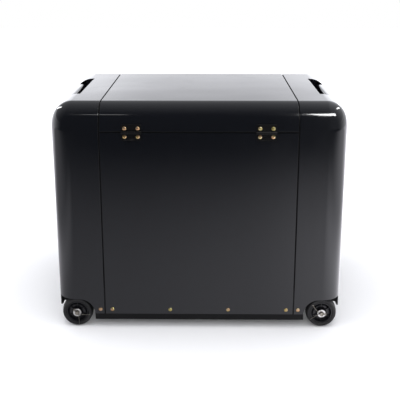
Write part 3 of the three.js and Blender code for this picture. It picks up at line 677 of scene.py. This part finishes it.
def grip():
    """The right grip: a deep finger pocket behind a lip that ends in a fat rolled bead."""
    wall = 2 * MM
    gap = 0.3 * MM
    inner, side, floor = GRIP_INNER + gap, HALF_WIDTH, GRIP_FLOOR
    flush = GRIP_FLUSH + gap
    rim = TOP - 1.2 * MM
    bead = (BEAD_X, BEAD_Z)
    crown = BEAD_Z + BEAD_RADIUS
    shoulder = (side - 13 * MM, crown - 3.5 * MM)
    body = [(inner, rim), (inner, floor), (side, floor), (side, flush)]
    body += curve(body[-1], (side - MM, flush + 16 * MM), shoulder, 10)
    body += curve(shoulder, (BEAD_X + 6.5 * MM, crown), (BEAD_X, crown), 8)
    body += arc(bead, BEAD_RADIUS, 90, 180, 10)
    body += [(BEAD_X - BEAD_RADIUS, rim)]
    under = HALF_WIDTH - SKIN - gap - wall - 2 * MM
    bottom = floor + wall
    pocket = [(inner + wall, FAR), (inner + wall, bottom), (under, bottom), (under, flush - 8 * MM)]
    pocket += curve(pocket[-1], (under, flush + 13 * MM), (BEAD_X + 7 * MM, BEAD_Z - 2 * MM), 10)
    pocket += arc(bead, BEAD_RADIUS, 290, 180, 10)
    pocket += [(BEAD_X - BEAD_RADIUS, FAR)]
    half = GRIP_HALF - gap
    full = carved(prism(body, Y, -half, half), prism(pocket, Y, wall - half, half - wall))
    full = carved(full, case_block(0), "INTERSECT")
    under_skin = carved(slab((0, FAR), (-FAR, FAR), (0, flush)), case_block(SKIN + gap))
    return carved(full, under_skin)


def grips():
    edge = 0.35 * MM
    painted("grip_pocket_right", grip(), "grip_right", edge=edge)
    painted("grip_pocket_left", put(grip(), MIRROR_X), "grip_left", edge=edge)


# ------------------------------------------------------------------ screws and hinges


def screw(radius, height):
    """A domed head facing -Y, with a tapered cross recess and a seat ring."""
    crown = [(radius * math.cos(a), -height * math.sin(a) ** 0.8) for a in
             (math.radians(12 + 78 * i / 8) for i in range(8))]
    tip = 0.0004 * radius
    outline = [(tip, 0), (radius, 0), (radius, -0.12 * height)] + crown
    outline += [(tip, -height)]
    head = turned(outline, 32)
    half_length, half_width = 0.62 * radius, 0.13 * radius
    for turn in (0, 90):
        low = (-half_length, -2 * height, -half_width)
        blade = box_mesh(low, (half_length, -0.35 * height, half_width))
        for vert in blade.verts:
            if vert.co.y > -height:
                vert.co.x *= 0.45
        head = carved(head, put(blade, Matrix.Rotation(math.radians(turn), 4, "Y")))
    return head


SCREW = screw(SCREW_RADIUS, SCREW_HEIGHT)
SMALL_SCREW = screw(3 * MM, 1.8 * MM)


def screws_at(places, head=SCREW, facing=Matrix.Identity(4), turn=23.0):
    """Copies of a head, each with its recess turned a little further."""
    heads = []
    for i, place in enumerate(places):
        spin = Matrix.Rotation(math.radians(turn * (i * i + 1)), 4, "Y")
        heads.append(put(head.copy(), Matrix.Translation(place) @ facing @ spin))
    return gathered(*heads)


def leaf(up, knuckles, gaps):
    """One hinge leaf with its rolled knuckles; up is 1 for the lid's and -1 for the case's."""
    corner = 3 * MM
    near, far = up * 2 * MM, up * LEAF_REACH
    plate = slab((-HINGE_HALF, HINGE_HALF), (LEAF_BACK - LEAF, LEAF_BACK), sorted((near, far)))
    outer = [e for e in plate.edges if all(abs(v.co.z - far) < MM / 10 for v in e.verts)
             and abs(e.verts[0].co.y - e.verts[1].co.y) > MM]
    bevel(plate, outer, corner, 6)
    on_pin = shift(0, HINGE_Y, 0) @ ALONG_X
    for start, end in gaps:
        relief = disc(KNUCKLE + KNUCKLE_RELIEF, start - KNUCKLE_GAP, end + KNUCKLE_GAP, 40)
        plate = carved(plate, put(relief, on_pin))
    for start, end in knuckles:
        plate = carved(plate, put(disc(KNUCKLE, start, end, 40), on_pin), "UNION")
    return carved(plate, put(disc(KNUCKLE_BORE, -0.1, 0.1, 32), on_pin))


def hinges():
    inner_end = MIDDLE_KNUCKLE + KNUCKLE_GAP
    ends = [(-HINGE_HALF, -inner_end), (inner_end, HINGE_HALF)]
    middle = [(-MIDDLE_KNUCKLE, MIDDLE_KNUCKLE)]
    leaves = {"case": leaf(-1, ends, middle), "lid": leaf(1, middle, ends)}
    face = LEAF_BACK - LEAF - 0.2 * MM
    for name, side in SIDES:
        at_hinge = shift(side * HINGE_X, 0, LID_SEAM)
        for body, up in (("case", -1), ("lid", 1)):
            finished(f"hinge_leaf_{body}_{name}_pressed", put(leaves[body].copy(), at_hinge), body,
                     HINGE_BLACK, [f"hinge_leaf_{body}_{name}"], 0.5 * MM, 3)
            places = [Vector((side * HINGE_X + across * SCREW_STEP.x, face, LID_SEAM + up * SCREW_STEP.z))
                      for across in (-1, 1)]
            finished(f"hinge_screws_{body}_{name}", screws_at(places, turn=19 + 11 * up + 7 * side), body,
                     ZINC,
                     [f"hinge_screw_{body}_{name}_{place}" for place in ("outer", "inner")], 0.12 * MM)
        reach = HINGE_HALF + 0.8 * MM
        pin = put(disc(HINGE_PIN, -reach, reach, 32), at_hinge @ shift(0, HINGE_Y, 0) @ ALONG_X)
        finished(f"hinge_pin_{name}_riveted", pin, "case", HINGE_BLACK,
                 [f"hinge_pin_{name}"], 0.6 * MM, 3)


def foot_screws():
    """The row of screws along the foot of each long face."""
    for name, facing in (("rear", Matrix.Identity(4)), ("front", FACE_FRONT)):
        direction = -1 if name == "rear" else 1
        y = direction * (HALF_DEPTH + 0.05 * MM)
        places = [Vector((x, y, FOOT_SCREW_Z)) for x in (*FOOT_SCREWS, -CAP_SCREW, CAP_SCREW)]
        heads = screws_at(places, facing=facing)
        finished(f"foot_screws_{name}", heads, "case", ZINC, (), 0.12 * MM)


# ------------------------------------------------------------------ wheels


def tyre():
    """Hard rubber tyre: crowned tread, rolled shoulders and ring mouldings on both walls."""
    inner, width, radius = 27.2 * MM, WHEEL_WIDTH, WHEEL_RADIUS
    wall = [
        (inner, 3 * MM), (inner + 0.8 * MM, 0.9 * MM), (inner + 1.8 * MM, 0.3 * MM),
        (inner + 2.6 * MM, 0.9 * MM), (inner + 3.4 * MM, 0.15 * MM),
    ]
    wall += arc((radius - 5.5 * MM, 3.2 * MM), 3.2 * MM, -90, -25, 7)
    tread = [(radius - 1.4 * MM * (2 * t - 1) ** 2, 5 * MM + t * (width - 10 * MM)) for t in
             (i / 12 for i in range(13))]
    back = [(r, width - y) for r, y in reversed(wall)]
    return turned(wall + tread + back)


def hub():
    """Dished hub: a boss, a deep glossy dish crossed by low ribs, and a rim."""
    bore, boss, width = AXLE_RADIUS + 0.15 * MM, 8.6 * MM, WHEEL_WIDTH
    face = [(bore, -HUB_PROUD), (boss, -HUB_PROUD), (9.2 * MM, 0.2 * MM), (9.8 * MM, 3 * MM)]
    face += [(11 * MM, 7.5 * MM)]
    face += curve((11 * MM, 7.5 * MM), (12.2 * MM, 10.4 * MM), (16 * MM, 10.2 * MM), 6)
    face += curve((16 * MM, 10.2 * MM), (21.8 * MM, 9.6 * MM), (23.2 * MM, 4.5 * MM), 8)
    face += curve((23.2 * MM, 4.5 * MM), (23.9 * MM, 2.1 * MM), (25.2 * MM, 2 * MM), 5)
    face += [(26.6 * MM, 2 * MM), (27 * MM, 2.5 * MM)]
    back = [(r, width - y) for r, y in reversed(face)]
    back[-1] = (bore, width + MM)
    back[-2] = (boss, width + MM)
    bm = turned(face + back)
    ribs = 6
    for i in range(ribs):
        rib = slab((10 * MM, 24 * MM), (6.2 * MM, 12 * MM), (-1.1 * MM, 1.1 * MM))
        for vert in rib.verts:
            if vert.co.y < 10 * MM:
                vert.co.z *= 0.6
        bm = carved(bm, put(rib, Matrix.Rotation(math.radians(30 + 360 * i / ribs), 4, "Y")), "UNION")
    return bm


def split_pin():
    """Shank through the axle, an eye on one side and two spread legs on the other, legs towards +X."""
    leg, knee = 0.65 * MM, AXLE_RADIUS + 1.5 * MM
    length, splay = 27 * MM, math.radians(45)
    loop = [Vector((-knee - 3 * MM - 2.2 * MM * math.cos(a), 0, 2.2 * MM * math.sin(a)))
            for a in (math.radians(-150 + 300 * i / 20) for i in range(21))]
    eye = tube(loop, leg)
    shank = tube([Vector((-knee - 1.2 * MM, 0, 0)), Vector((0, 0, 0)), Vector((knee, 0, 0))], 1.3 * MM, 16)
    legs = []
    for up in (-1, 1):
        end = Vector((knee + math.cos(splay) * length, 0, up * math.sin(splay) * length))
        start = Vector((knee - MM, 0, up * 0.4 * MM))
        route = [start + (end - start) * t + Vector((0, 0, -up * 0.5 * MM * math.sin(math.pi * t)))
                 for t in (i / 10 for i in range(11))]
        legs.append(tube(route, leg))
    return gathered(eye, shank, *legs)


def washer():
    near = -HUB_PROUD - 0.3 * MM
    far = near - WASHER_THICKNESS
    ring = [(WASHER_BORE, near), (WASHER_RADIUS, near), (WASHER_RADIUS, far), (WASHER_BORE, far)]
    return turned(ring, 64)


def wheels():
    shapes = {"tyre": tyre(), "hub": hub(), "pin": split_pin(), "washer": washer()}
    for corner, turn in PIN_TURNS.items():
        end, hand = corner.split("_")
        facing = Matrix.Identity(4) if end == "rear" else FACE_FRONT
        x = WHEEL_X if hand == "right" else -WHEEL_X
        y = -WHEEL_FACE if end == "rear" else WHEEL_FACE
        place = shift(x, y, WHEEL_RADIUS) @ facing
        pin_turn = shift(0, PIN_Y, 0) @ Matrix.Rotation(math.radians(turn), 4, "Y")
        finished(f"tyre_{corner}_moulded", put(shapes["tyre"].copy(), place), f"wheel_{corner}",
                 RUBBER, [f"tyre_{corner}"], None)
        finished(f"hub_{corner}_moulded", put(shapes["hub"].copy(), place), f"wheel_{corner}",
                 HUB_BLACK, [f"wheel_hub_{corner}"], 0.25 * MM, 2)
        finished(f"washer_{corner}_turned", put(shapes["washer"].copy(), place), "case",
                 BRIGHT, [f"washer_{corner}"], 0.3 * MM, 2)
        finished(f"split_pin_{corner}_bent", put(shapes["pin"].copy(), place @ pin_turn), "case",
                 AXLE_STEEL, [f"split_pin_{corner}"], None)


def axles():
    """Each axle: a drawn bar with chamfered ends, and a collar behind each hub."""
    for name, side in SIDES:
        low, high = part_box(f"axle_{name}")
        bar = disc(AXLE_RADIUS, low.y, high.y, 64)
        collars = [disc(COLLAR_RADIUS, y, y + COLLAR_LENGTH, 48) for y in COLLAR_STARTS]
        bm = put(gathered(bar, *collars), shift(side * WHEEL_X, 0, WHEEL_RADIUS))
        finished(f"axle_{name}_turned", bm, "case", AXLE_STEEL, [f"axle_{name}"], 0.8 * MM, 2)


# ------------------------------------------------------------------ locks, inlet, vents


def lock_knob():
    """A quarter-turn knob facing +Y: a skirted disc with a tapered wing across it."""
    low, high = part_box("lock_knob_right")
    face = HALF_DEPTH + 0.3 * MM
    radius = (high.x - low.x) / 2
    top = face + 3 * MM
    rim = [(radius, face), (radius, face + 1.6 * MM), (radius - 1.4 * MM, top)]
    skirt = turned([(LOCK_BORE, face), *rim, (LOCK_BORE, top)], 72)
    wing = slab((-3.5 * MM, 3.5 * MM), (face + 2 * MM, high.y), (2 * MM - radius, radius - 2 * MM))
    for vert in wing.verts:
        if vert.co.y > face + 5 * MM:
            vert.co.x *= 0.72
    shaft = disc(LOCK_SHAFT, low.y, face + 2.5 * MM)
    knob = carved(carved(skirt, wing, "UNION"), shaft, "UNION")
    dot = put(disc(1.1 * MM, high.y - 0.5 * MM, high.y + MM, 20), shift(0, 0, radius - 6 * MM))
    return carved(knob, dot)


def locks():
    knob = lock_knob()
    for name, side in SIDES:
        low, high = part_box(f"lock_knob_{name}")
        place = shift((low.x + high.x) / 2, 0, (low.z + high.z) / 2)
        finished(f"lock_knob_{name}_moulded", put(knob.copy(), place), f"lock_{name}",
                 BLACK_PLASTIC, [f"lock_knob_{name}"], 0.5 * MM, 3)


def inlet():
    """The charging inlet's flanged socket with its centre contact, between the ears of the flap."""
    low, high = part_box("inlet_socket")
    face = HALF_WIDTH + 0.3 * MM
    y, z = (low.y + high.y) / 2, (low.z + high.z) / 2 - MM
    flange = slab((face, face + 3 * MM), (low.y, high.y), (low.z, high.z))
    corners = [e for e in flange.edges if abs(e.verts[0].co.x - e.verts[1].co.x) > MM]
    bevel(flange, corners, 4 * MM, 6)
    inwards = shift(0, y, z) @ ALONG_X
    barrel = put(disc(INLET_BARREL, HALF_WIDTH - 26 * MM, face + MM), inwards)
    bore = put(disc(INLET_BORE, HALF_WIDTH - 20 * MM, 0.5), inwards)
    ears = [slab((face + 2 * MM, face + 9 * MM), (start, start + 2.7 * MM), (high.z - 8 * MM, high.z))
            for start in (low.y, high.y - 2.7 * MM)]
    socket = carved(flange, barrel, "UNION")
    for ear in ears:
        socket = carved(socket, ear, "UNION")
    socket = carved(socket, bore)
    finished("inlet_socket_moulded", socket, "case", BLACK_PLASTIC,
             ["inlet_socket"], 0.4 * MM, 2)
    contact = put(disc(INLET_CONTACT, HALF_WIDTH - 21 * MM, HALF_WIDTH - 6 * MM, 24), inwards)
    finished("inlet_contact", contact, "case", BRIGHT, (), 0.4 * MM, 2)


def inlet_flap():
    """The wedge-shaped rain flap over the inlet, with grip ribs sunk in its lower face."""
    flap_low, flap_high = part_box("inlet_flap")
    pivot_x, pivot_z = HALF_WIDTH + 6.3 * MM, flap_high.z - 2.6 * MM
    near, out = flap_low.x, flap_high.x
    outline = [(near, pivot_z - 2.6 * MM), (near, flap_low.z), (out - 2 * MM, flap_low.z)]
    outline += curve(outline[-1], (out, flap_low.z), (out, flap_low.z + 3 * MM), 5)
    outer_shoulder = (pivot_x + 2.2 * MM, pivot_z + 1.4 * MM)
    inner_shoulder = (pivot_x - 1.8 * MM, pivot_z + 1.8 * MM)
    outline += curve(outline[-1], (out - 0.2 * MM, pivot_z - 8 * MM), outer_shoulder, 8)
    outline += curve(outline[-1], (pivot_x + MM, flap_high.z), (pivot_x, flap_high.z), 3)
    outline += curve(outline[-1], (pivot_x - 1.4 * MM, flap_high.z), inner_shoulder, 3)
    flap = prism(outline, Y, flap_low.y, flap_high.y)
    ribs = [slab((out - 1.2 * MM, out + 5 * MM), (flap_low.y + at * MM, flap_low.y + (at + 1.2) * MM),
                 (flap_low.z + 2 * MM, flap_low.z + 9 * MM)) for at in range(5, 22, 3)]
    for rib in ribs:
        flap = carved(flap, rib)
    finished("inlet_flap_moulded", flap, "flap", BLACK_PLASTIC, ["inlet_flap"], 0.5 * MM, 3)


def vent_cowl():
    """The right cowl: a plate with rounded corners and four hooded slots."""
    low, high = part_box("vent_cowl_right")
    face, middle = low.x, (low.z + high.z) / 2
    plate = slab((face, face + 2.5 * MM), (low.y, high.y), (low.z, high.z))
    corners = [e for e in plate.edges if abs(e.verts[0].co.x - e.verts[1].co.x) > MM]
    bevel(plate, corners, 5 * MM, 8)
    half_z, reach = (high.z - low.z) / 2, high.y - 12 * MM
    pitch = (2 * half_z - 16 * MM) / LOUVRES
    for i in range(LOUVRES):
        top = middle + half_z - 6 * MM - i * pitch
        slot = slab((face - MM, face + 5 * MM), (2 * MM - reach, reach - 2 * MM),
                    (top - pitch + 3 * MM, top - 3.5 * MM))
        plate = carved(plate, slot)
    for i in range(LOUVRES):
        top = middle + half_z - 6 * MM - i * pitch
        lip = (high.x, top - pitch + 2.5 * MM)
        hood = [(face + MM, top), (face + 2.5 * MM, top)]
        hood += curve(hood[-1], (face + 3.5 * MM, top - pitch + 5 * MM), lip, 10)
        hood += [(high.x, top - pitch + MM)]
        hood += curve(hood[-1], (face + 1.5 * MM, top - pitch + 3.5 * MM), (face + MM, top - 2.5 * MM), 10)
        plate = carved(plate, prism(hood, Y, -reach, reach), "UNION")
    return plate


def vents():
    cowl = vent_cowl()
    low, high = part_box("vent_cowl_right")
    places = [Vector((low.x + 2.4 * MM, y, z)) for y in (low.y + 6 * MM, high.y - 6 * MM)
              for z in (low.z + 6 * MM, high.z - 6 * MM)]
    for name, mirror in (("right", Matrix.Identity(4)), ("left", MIRROR_X)):
        finished(f"vent_cowl_{name}_moulded", put(cowl.copy(), mirror), "case",
                 BLACK_PLASTIC, [f"vent_cowl_{name}"], 0.3 * MM, 2)
        heads = put(screws_at(places, SMALL_SCREW, FACE_RIGHT), mirror)
        finished(f"vent_screws_{name}", heads, "case", HINGE_BLACK, (), 0.1 * MM)


# ------------------------------------------------------------------ control deck


def on_deck(x, y):
    """What faces -Y at the origin, set on the deck to face up; x and y in millimetres."""
    return shift(x * MM, y * MM, DECK_TOP) @ FACE_UP


def display():
    z = DECK_TOP
    bezel = slab((-60 * MM, 40 * MM), (60 * MM, 130 * MM), (z, z + 6 * MM))
    window = slab((-50 * MM, 30 * MM), (70 * MM, 120 * MM), (z + 3 * MM, z + 20 * MM))
    finished("display_bezel", carved(bezel, window), "case", BLACK_PLASTIC, (), MM, 3)
    screen = slab((-49.5 * MM, 29.5 * MM), (70.5 * MM, 119.5 * MM), (z + 1.5 * MM, z + 3.4 * MM))
    finished("display_screen", screen, "case", DISPLAY, (), 0.3 * MM)


def breakers():
    """Four breakers in a row, each with its lever tipped forwards."""
    z = DECK_TOP
    bodies, levers = [], []
    for i in range(DECK_ROW):
        x = (-58 + 26 * i) * MM
        bodies.append(slab((x, x + 20 * MM), (0, 36 * MM), (z, z + 7 * MM)))
        lever = slab((x + 7 * MM, x + 13 * MM), (12 * MM, 20 * MM), (z + 6.8 * MM, z + 16 * MM))
        tip = Matrix.Rotation(math.radians(-18), 3, "X")
        bmesh.ops.rotate(lever, verts=lever.verts, cent=(0, 16 * MM, z + 6 * MM), matrix=tip)
        levers.append(lever)
    finished("breaker_bodies", gathered(*bodies), "case", GREY_PLASTIC, (), 0.8 * MM, 3)
    finished("breaker_levers", gathered(*levers), "case", BLACK_PLASTIC, (), 0.8 * MM, 3)


def charging_sockets():
    """Four round sockets: a plated ring with a black core."""
    bore, outer = SOCKET_BORE, SOCKET_RADIUS
    ring = [(bore, 0), (outer, 0), (outer, -3 * MM), (7.6 * MM, -4.6 * MM), (bore, -4.6 * MM)]
    core = [(ON_AXIS, 0), (4.9 * MM, 0), (4.9 * MM, -2 * MM), (ON_AXIS, -2 * MM)]
    places = [on_deck(-56 + 30 * i, -40) for i in range(DECK_ROW)]
    rings = gathered(*(put(turned(ring, 48), place) for place in places))
    finished("charging_sockets", rings, "case", BRIGHT, (), 0.4 * MM, 2)
    cores = gathered(*(put(turned(core, 40), place) for place in places))
    finished("charging_socket_cores", cores, "case", BLACK_PLASTIC, (), 0.3 * MM)


def terminals():
    post = [(ON_AXIS, 0), (10 * MM, 0), (10 * MM, -6 * MM), (8.5 * MM, -7 * MM), (8.5 * MM, -18 * MM)]
    post += [(7 * MM, -20 * MM), (ON_AXIS, -20 * MM)]
    for name, x, material in (("positive", 150, RED_PLASTIC), ("negative", 182, BLACK_PLASTIC)):
        terminal = put(turned(post, 12), on_deck(x, -70))
        finished(f"terminal_{name}", terminal, "case", material, (), 0.8 * MM, 3)


def status_lenses():
    base, radius = -1.2 * MM, 3 * MM
    lens = [(ON_AXIS, 0), (radius, 0), *arc((0, base), radius, 0, -85, 6), (ON_AXIS, base - radius)]
    lenses = [put(turned(lens, 32), on_deck(52, 66 + 14 * i)) for i in range(DECK_ROW)]
    finished("status_lenses", gathered(*lenses), "case", GREEN_LAMP, (), None)


def deck_screws():
    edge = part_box("control_deck")[1]
    reach_x, reach_y = edge.x - 12 * MM, edge.y - 14 * MM
    places = [Vector((x * reach_x, y * reach_y, DECK_TOP)) for x in (-1, -0.34, 0.34, 1) for y in (-1, 1)]
    places += [Vector((x * reach_x, 0, DECK_TOP)) for x in (-1, 1)]
    heads = screws_at(places, SMALL_SCREW, FACE_UP)
    finished("deck_screws", heads, "case", BRIGHT, (), 0.1 * MM)


def outlets():
    """Two round mains sockets in the outlet plate, each with a recess, slots and an earth hole."""
    low, high = OUTLET_LOW, OUTLET_HIGH
    middle = (low + high) / 2
    rim = slab((low.x, high.x), (low.y, high.y), (high.z - 4 * MM, high.z))
    corners = [e for e in rim.edges if abs(e.verts[0].co.z - e.verts[1].co.z) > MM]
    bevel(rim, corners, 6 * MM, 8)
    inset = 7 * MM
    across, along = (low.x + inset, high.x - inset), (low.y + inset, high.y - inset)
    plate = carved(rim, slab(across, along, (low.z, high.z - 3 * MM)), "UNION")
    downwards = FACE_UP @ FACE_FRONT
    for side in (-1, 1):
        y = middle.y + side * 21 * MM
        well = put(disc(OUTLET_WELL, -2.2 * MM, 10 * MM, 64), shift(middle.x, y, high.z) @ downwards)
        plate = carved(plate, well)
        along = (y - SLOT_LENGTH / 2 * MM + 2 * MM, y + SLOT_LENGTH / 2 * MM + 2 * MM)
        for x in (-SLOT_X, SLOT_X):
            across = (middle.x + (x - SLOT_WIDTH / 2) * MM, middle.x + (x + SLOT_WIDTH / 2) * MM)
            plate = carved(plate, slab(across, along, (high.z - 16 * MM, high.z + MM)))
        earth_place = shift(middle.x, y - 7 * MM, high.z) @ downwards
        plate = carved(plate, put(disc(OUTLET_EARTH, -16 * MM, 10 * MM, 32), earth_place))
    finished("outlet_plate_moulded", plate, "case", GREY_PLASTIC,
             ["outlet_plate"], 0.4 * MM, 2)


def rocker():
    """The power rocker, with a bar and a ring sunk in its two halves."""
    low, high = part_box("switch_rocker")
    pivot = low.z + 8 * MM
    middle = (low.y + high.y) / 2
    half = (high.y - low.y) / 2
    outline = [(middle - half, pivot + 6 * MM)]
    outline += curve(outline[-1], (middle, pivot + 5 * MM), (middle + half, pivot + 10 * MM), 14)
    outline += [(middle + half - 2 * MM, pivot - 2 * MM), (middle + 4 * MM, low.z), (middle - 4 * MM, low.z),
                (middle - half + 2 * MM, pivot - 2 * MM)]
    bm = prism(outline, X, low.x, high.x)
    centre_x = (low.x + high.x) / 2
    half_bar = 0.6 * MM
    across, along = (centre_x - half_bar, centre_x + half_bar), (middle + 3 * MM, middle + 7 * MM)
    bm = carved(bm, slab(across, along, (pivot + 6.5 * MM, 1.0)))
    inner, outer, tall = 1.6 * MM, 2.6 * MM, 20 * MM
    ring = turned([(inner, 0), (outer, 0), (outer, -tall), (inner, -tall)], 32)
    bm = carved(bm, put(ring, shift(centre_x, middle - 5 * MM, pivot + 5.4 * MM) @ FACE_UP))
    finished("power_rocker", bm, "rocker", BLACK_PLASTIC, ["switch_rocker"], 0.5 * MM, 3)


# ------------------------------------------------------------------ kept CAD nodes

KEPT = {
    STEEL_BLACK: ["base_pan", "hoop_left", "hoop_right", "lid_frame"],
    SEAL_RUBBER: ["lid_seal"],
    BRIGHT: ["lock_tongue_left", "lock_tongue_right"],
    GREY_PLASTIC: ["battery_rear", "battery_front"],
    ALUMINIUM: ["inverter", "charge_controller"],
    BLACK_PLASTIC: ["control_deck", "switch_frame"],
}
ROUNDED = {"base_pan": 0.6 * MM, "battery_rear": 2 * MM, "battery_front": 2 * MM, "control_deck": 0.6 * MM}


def dress_frame():
    """Gives the CAD nodes that stay their finish and their rounded edges."""
    for material, names in KEPT.items():
        for name in names:
            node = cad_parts[name]
            node.data.materials.clear()
            node.data.materials.append(material)
            weld = node.modifiers.new("weld", "WELD")
            weld.merge_threshold = 0.002 * MM
            rounding = node.modifiers.new("rounding", "BEVEL")
            rounding.width = ROUNDED.get(name, 0.35 * MM)
            rounding.segments = 2
            rounding.limit_method = "ANGLE"
            rounding.angle_limit = math.radians(40)


# ------------------------------------------------------------------ stage


DAYLIGHT = 0.95  # the white studio's light on matt surfaces


def studio_sky():
    """White to the camera; the paint mirrors a bright wall behind the case and a dark room before it."""
    world = bpy.data.worlds.new("studio")
    bpy.context.scene.world = world
    world.use_nodes = True
    tree = world.node_tree
    background = tree.nodes["Background"]
    coords = tree.nodes.new("ShaderNodeTexCoord")
    split = tree.nodes.new("ShaderNodeSeparateXYZ")
    tree.links.new(coords.outputs["Generated"], split.inputs[0])
    x, y, z = (Value(tree, socket) for socket in split.outputs)
    behind = y.above(-0.05, 0.55)
    low_wall = 1.0 - z.above(0.30, 0.04)
    ends = 1.0 + 0.38 * (x * x).above(0.012, 0.012)
    wall = (1.42 - 0.55 * z.above(0.162, 0.03) + 0.5 * z.above(0.21, 0.02)) * ends
    above_wall = 0.5 + 0.55 * x.above(0.16, 0.12)
    wall = behind * (above_wall * (1.0 - low_wall) + low_wall * wall)
    room = 0.05 + 0.2 * x.above(0.16, 0.1)
    glow = wall + (1.0 - behind) * room
    rays = tree.nodes.new("ShaderNodeLightPath")
    direct = Value(tree, rays.outputs["Is Camera Ray"])
    diffuse = Value(tree, rays.outputs["Is Diffuse Ray"])
    strength = direct + (1.0 - direct) * (diffuse * DAYLIGHT + (1.0 - diffuse) * glow)
    tint = tree.nodes.new("ShaderNodeMix")
    tint.data_type = "RGBA"
    plug(tree, tint.inputs["Factor"], direct)
    plug(tree, tint.inputs[6], (0.97, 0.98, 1.03))
    plug(tree, tint.inputs[7], (1.0, 1.0, 1.0))
    tree.links.new(tint.outputs[2], background.inputs["Color"])
    tree.links.new(strength.socket, background.inputs["Strength"])


def floor():
    """A plain pale floor, burnt out to white further off.

    In the paint's reflections the floor carries painted light and shade: painted shade where the room before
    the case is, painted pools of light beside and behind the case, and a painted shadow under the case.
    """
    bm = bmesh.new()
    bmesh.ops.create_grid(bm, x_segments=1, y_segments=1, size=8)
    ground = as_object("floor", bm)
    material = bpy.data.materials.new("pale_floor")
    material.use_nodes = True
    tree = material.node_tree
    pale = tree.nodes["Principled BSDF"]
    pale.inputs["Base Color"].default_value = (0.9, 0.9, 0.905, 1)
    pale.inputs["Roughness"].default_value = 0.9
    coords = tree.nodes.new("ShaderNodeTexCoord")
    split = tree.nodes.new("ShaderNodeSeparateXYZ")
    tree.links.new(coords.outputs["Object"], split.inputs[0])
    x, y, _ = (Value(tree, socket) for socket in split.outputs)
    before = -1.0 * y
    to_left = -1.0 * x
    # painted shade: the floor as the paint mirrors it grows darker towards the room before the case
    painted_shade_ahead = before.above(1.4, 1.0)
    # painted pools of light on the mirrored floor, to the right, to the left and behind the case
    right = 1.25 * x.above(0.42, 0.3) * (1.0 - 0.7 * x.above(1.0, 0.3))
    left = 0.5 * to_left.above(0.62, 0.2) * (1.0 - to_left.above(1.0, 0.25))
    across = 0.75 + 0.6 * x.above(0.15, 0.45) + right + left
    behind = 1.4 * y.above(0.6, 0.5)
    # painted shadow: the mirrored floor goes dark under the case's footprint and a few centimetres round it
    clear_x = x.maths("ABSOLUTE", x) - HALF_WIDTH
    clear_y = y.maths("ABSOLUTE", y) - HALF_DEPTH
    clear = clear_x.maths("MAXIMUM", clear_x, clear_y)
    clear_of_painted_shadow = clear.above(0.03, 0.045)
    # the painted light and shade, shown to glossy rays only, so the paint mirrors them
    painted_light_level = clear_of_painted_shadow * (0.05 + 0.95 * (1.0 - painted_shade_ahead)) * across + behind
    glow = tree.nodes.new("ShaderNodeEmission")
    glow.inputs["Color"].default_value = (0.95, 0.94, 1.0, 1)
    tree.links.new(painted_light_level.socket, glow.inputs["Strength"])
    rays = tree.nodes.new("ShaderNodeLightPath")
    away = (x * x + y * y) ** 0.5
    burnt = tree.nodes.new("ShaderNodeEmission")
    white_out = Value(tree, rays.outputs["Is Camera Ray"]) * (0.05 + 0.5 * away.above(0.95, 0.35))
    tree.links.new(white_out.socket, burnt.inputs["Strength"])
    lit = tree.nodes.new("ShaderNodeAddShader")
    tree.links.new(pale.outputs[0], lit.inputs[0])
    tree.links.new(burnt.outputs[0], lit.inputs[1])
    mixed = tree.nodes.new("ShaderNodeMixShader")
    tree.links.new(rays.outputs["Is Glossy Ray"], mixed.inputs["Fac"])
    tree.links.new(lit.outputs[0], mixed.inputs[1])
    tree.links.new(glow.outputs[0], mixed.inputs[2])
    tree.links.new(mixed.outputs[0], tree.nodes["Material Output"].inputs["Surface"])
    ground.data.materials.append(material)


def softbox(name, place, aim, size, power, seen=True, lights=True, along=(1, 0, 0)):
    """A rectangular soft light pointed at a place; a lamp that lights nothing is only mirrored."""
    light = bpy.data.lights.new(name, "AREA")
    light.shape = "RECTANGLE"
    light.size, light.size_y = size
    light.energy = power
    back = (Vector(place) - Vector(aim)).normalized()
    up = back.cross(Vector(along)).normalized()
    turn = Matrix((up.cross(back), up, back)).transposed()
    lamp_object = bpy.data.objects.new(name, light)
    lamp_object.location = place
    lamp_object.rotation_euler = turn.to_euler()
    lamp_object.visible_camera = False
    lamp_object.visible_glossy = seen
    lamp_object.visible_diffuse = lights
    bpy.context.scene.collection.objects.link(lamp_object)


LENS = 72.37
EYE = (0.0262, -2.0803, 0.8804)
TILT, ROLL, TURN = 73.0, 0.05, 0.74
SHOULDER = Vector((0.3, -0.26, 0.54))


def camera():
    view = bpy.data.cameras.new("camera")
    view.lens = LENS
    view.sensor_width = 36
    view.clip_end = 50
    eye = bpy.data.objects.new("camera", view)
    eye.location = EYE
    eye.rotation_euler = [math.radians(angle) for angle in (TILT, ROLL, TURN)]
    bpy.context.scene.collection.objects.link(eye)
    bpy.context.scene.camera = eye
    bpy.context.scene.view_settings.view_transform = "Standard"


def stage():
    camera()
    studio_sky()
    floor()
    softbox("overhead", (0, -0.2, 2.6), (0, 0, 0.3), (2.6, 2.6), 40, seen=False)
    softbox("front_fill", (0.3, -2.6, 1.6), (0, 0, 0.2), (1.6, 1.0), 12, seen=False)
    for name, place, aim, size, power, along in (
        ("front_strip", (1.27, -1.12, 2.64), SHOULDER, (1.5, 0.42), 62, (1.48, 0.68, -0.4)),
        ("left_window", (-0.56, -1.46, 2.83), MIRROR_X @ SHOULDER, (0.24, 0.1), 0.25, X),
        ("back_left_strip", (-2.1, 1.7, 1.85), MIRROR_X @ SHOULDER, (0.2, 1.3), 10, X),
        ("back_right_strip", (2.1, 1.25, 2.3), SHOULDER, (0.2, 1.3), 12, X),
    ):
        softbox(name, place, aim, size, power, lights=False, along=along)


stage()
shells()
grips()
hinges()
foot_screws()
wheels()
axles()
locks()
inlet()
inlet_flap()
vents()
display()
breakers()
charging_sockets()
terminals()
status_lenses()
deck_screws()
outlets()
rocker()
dress_frame()
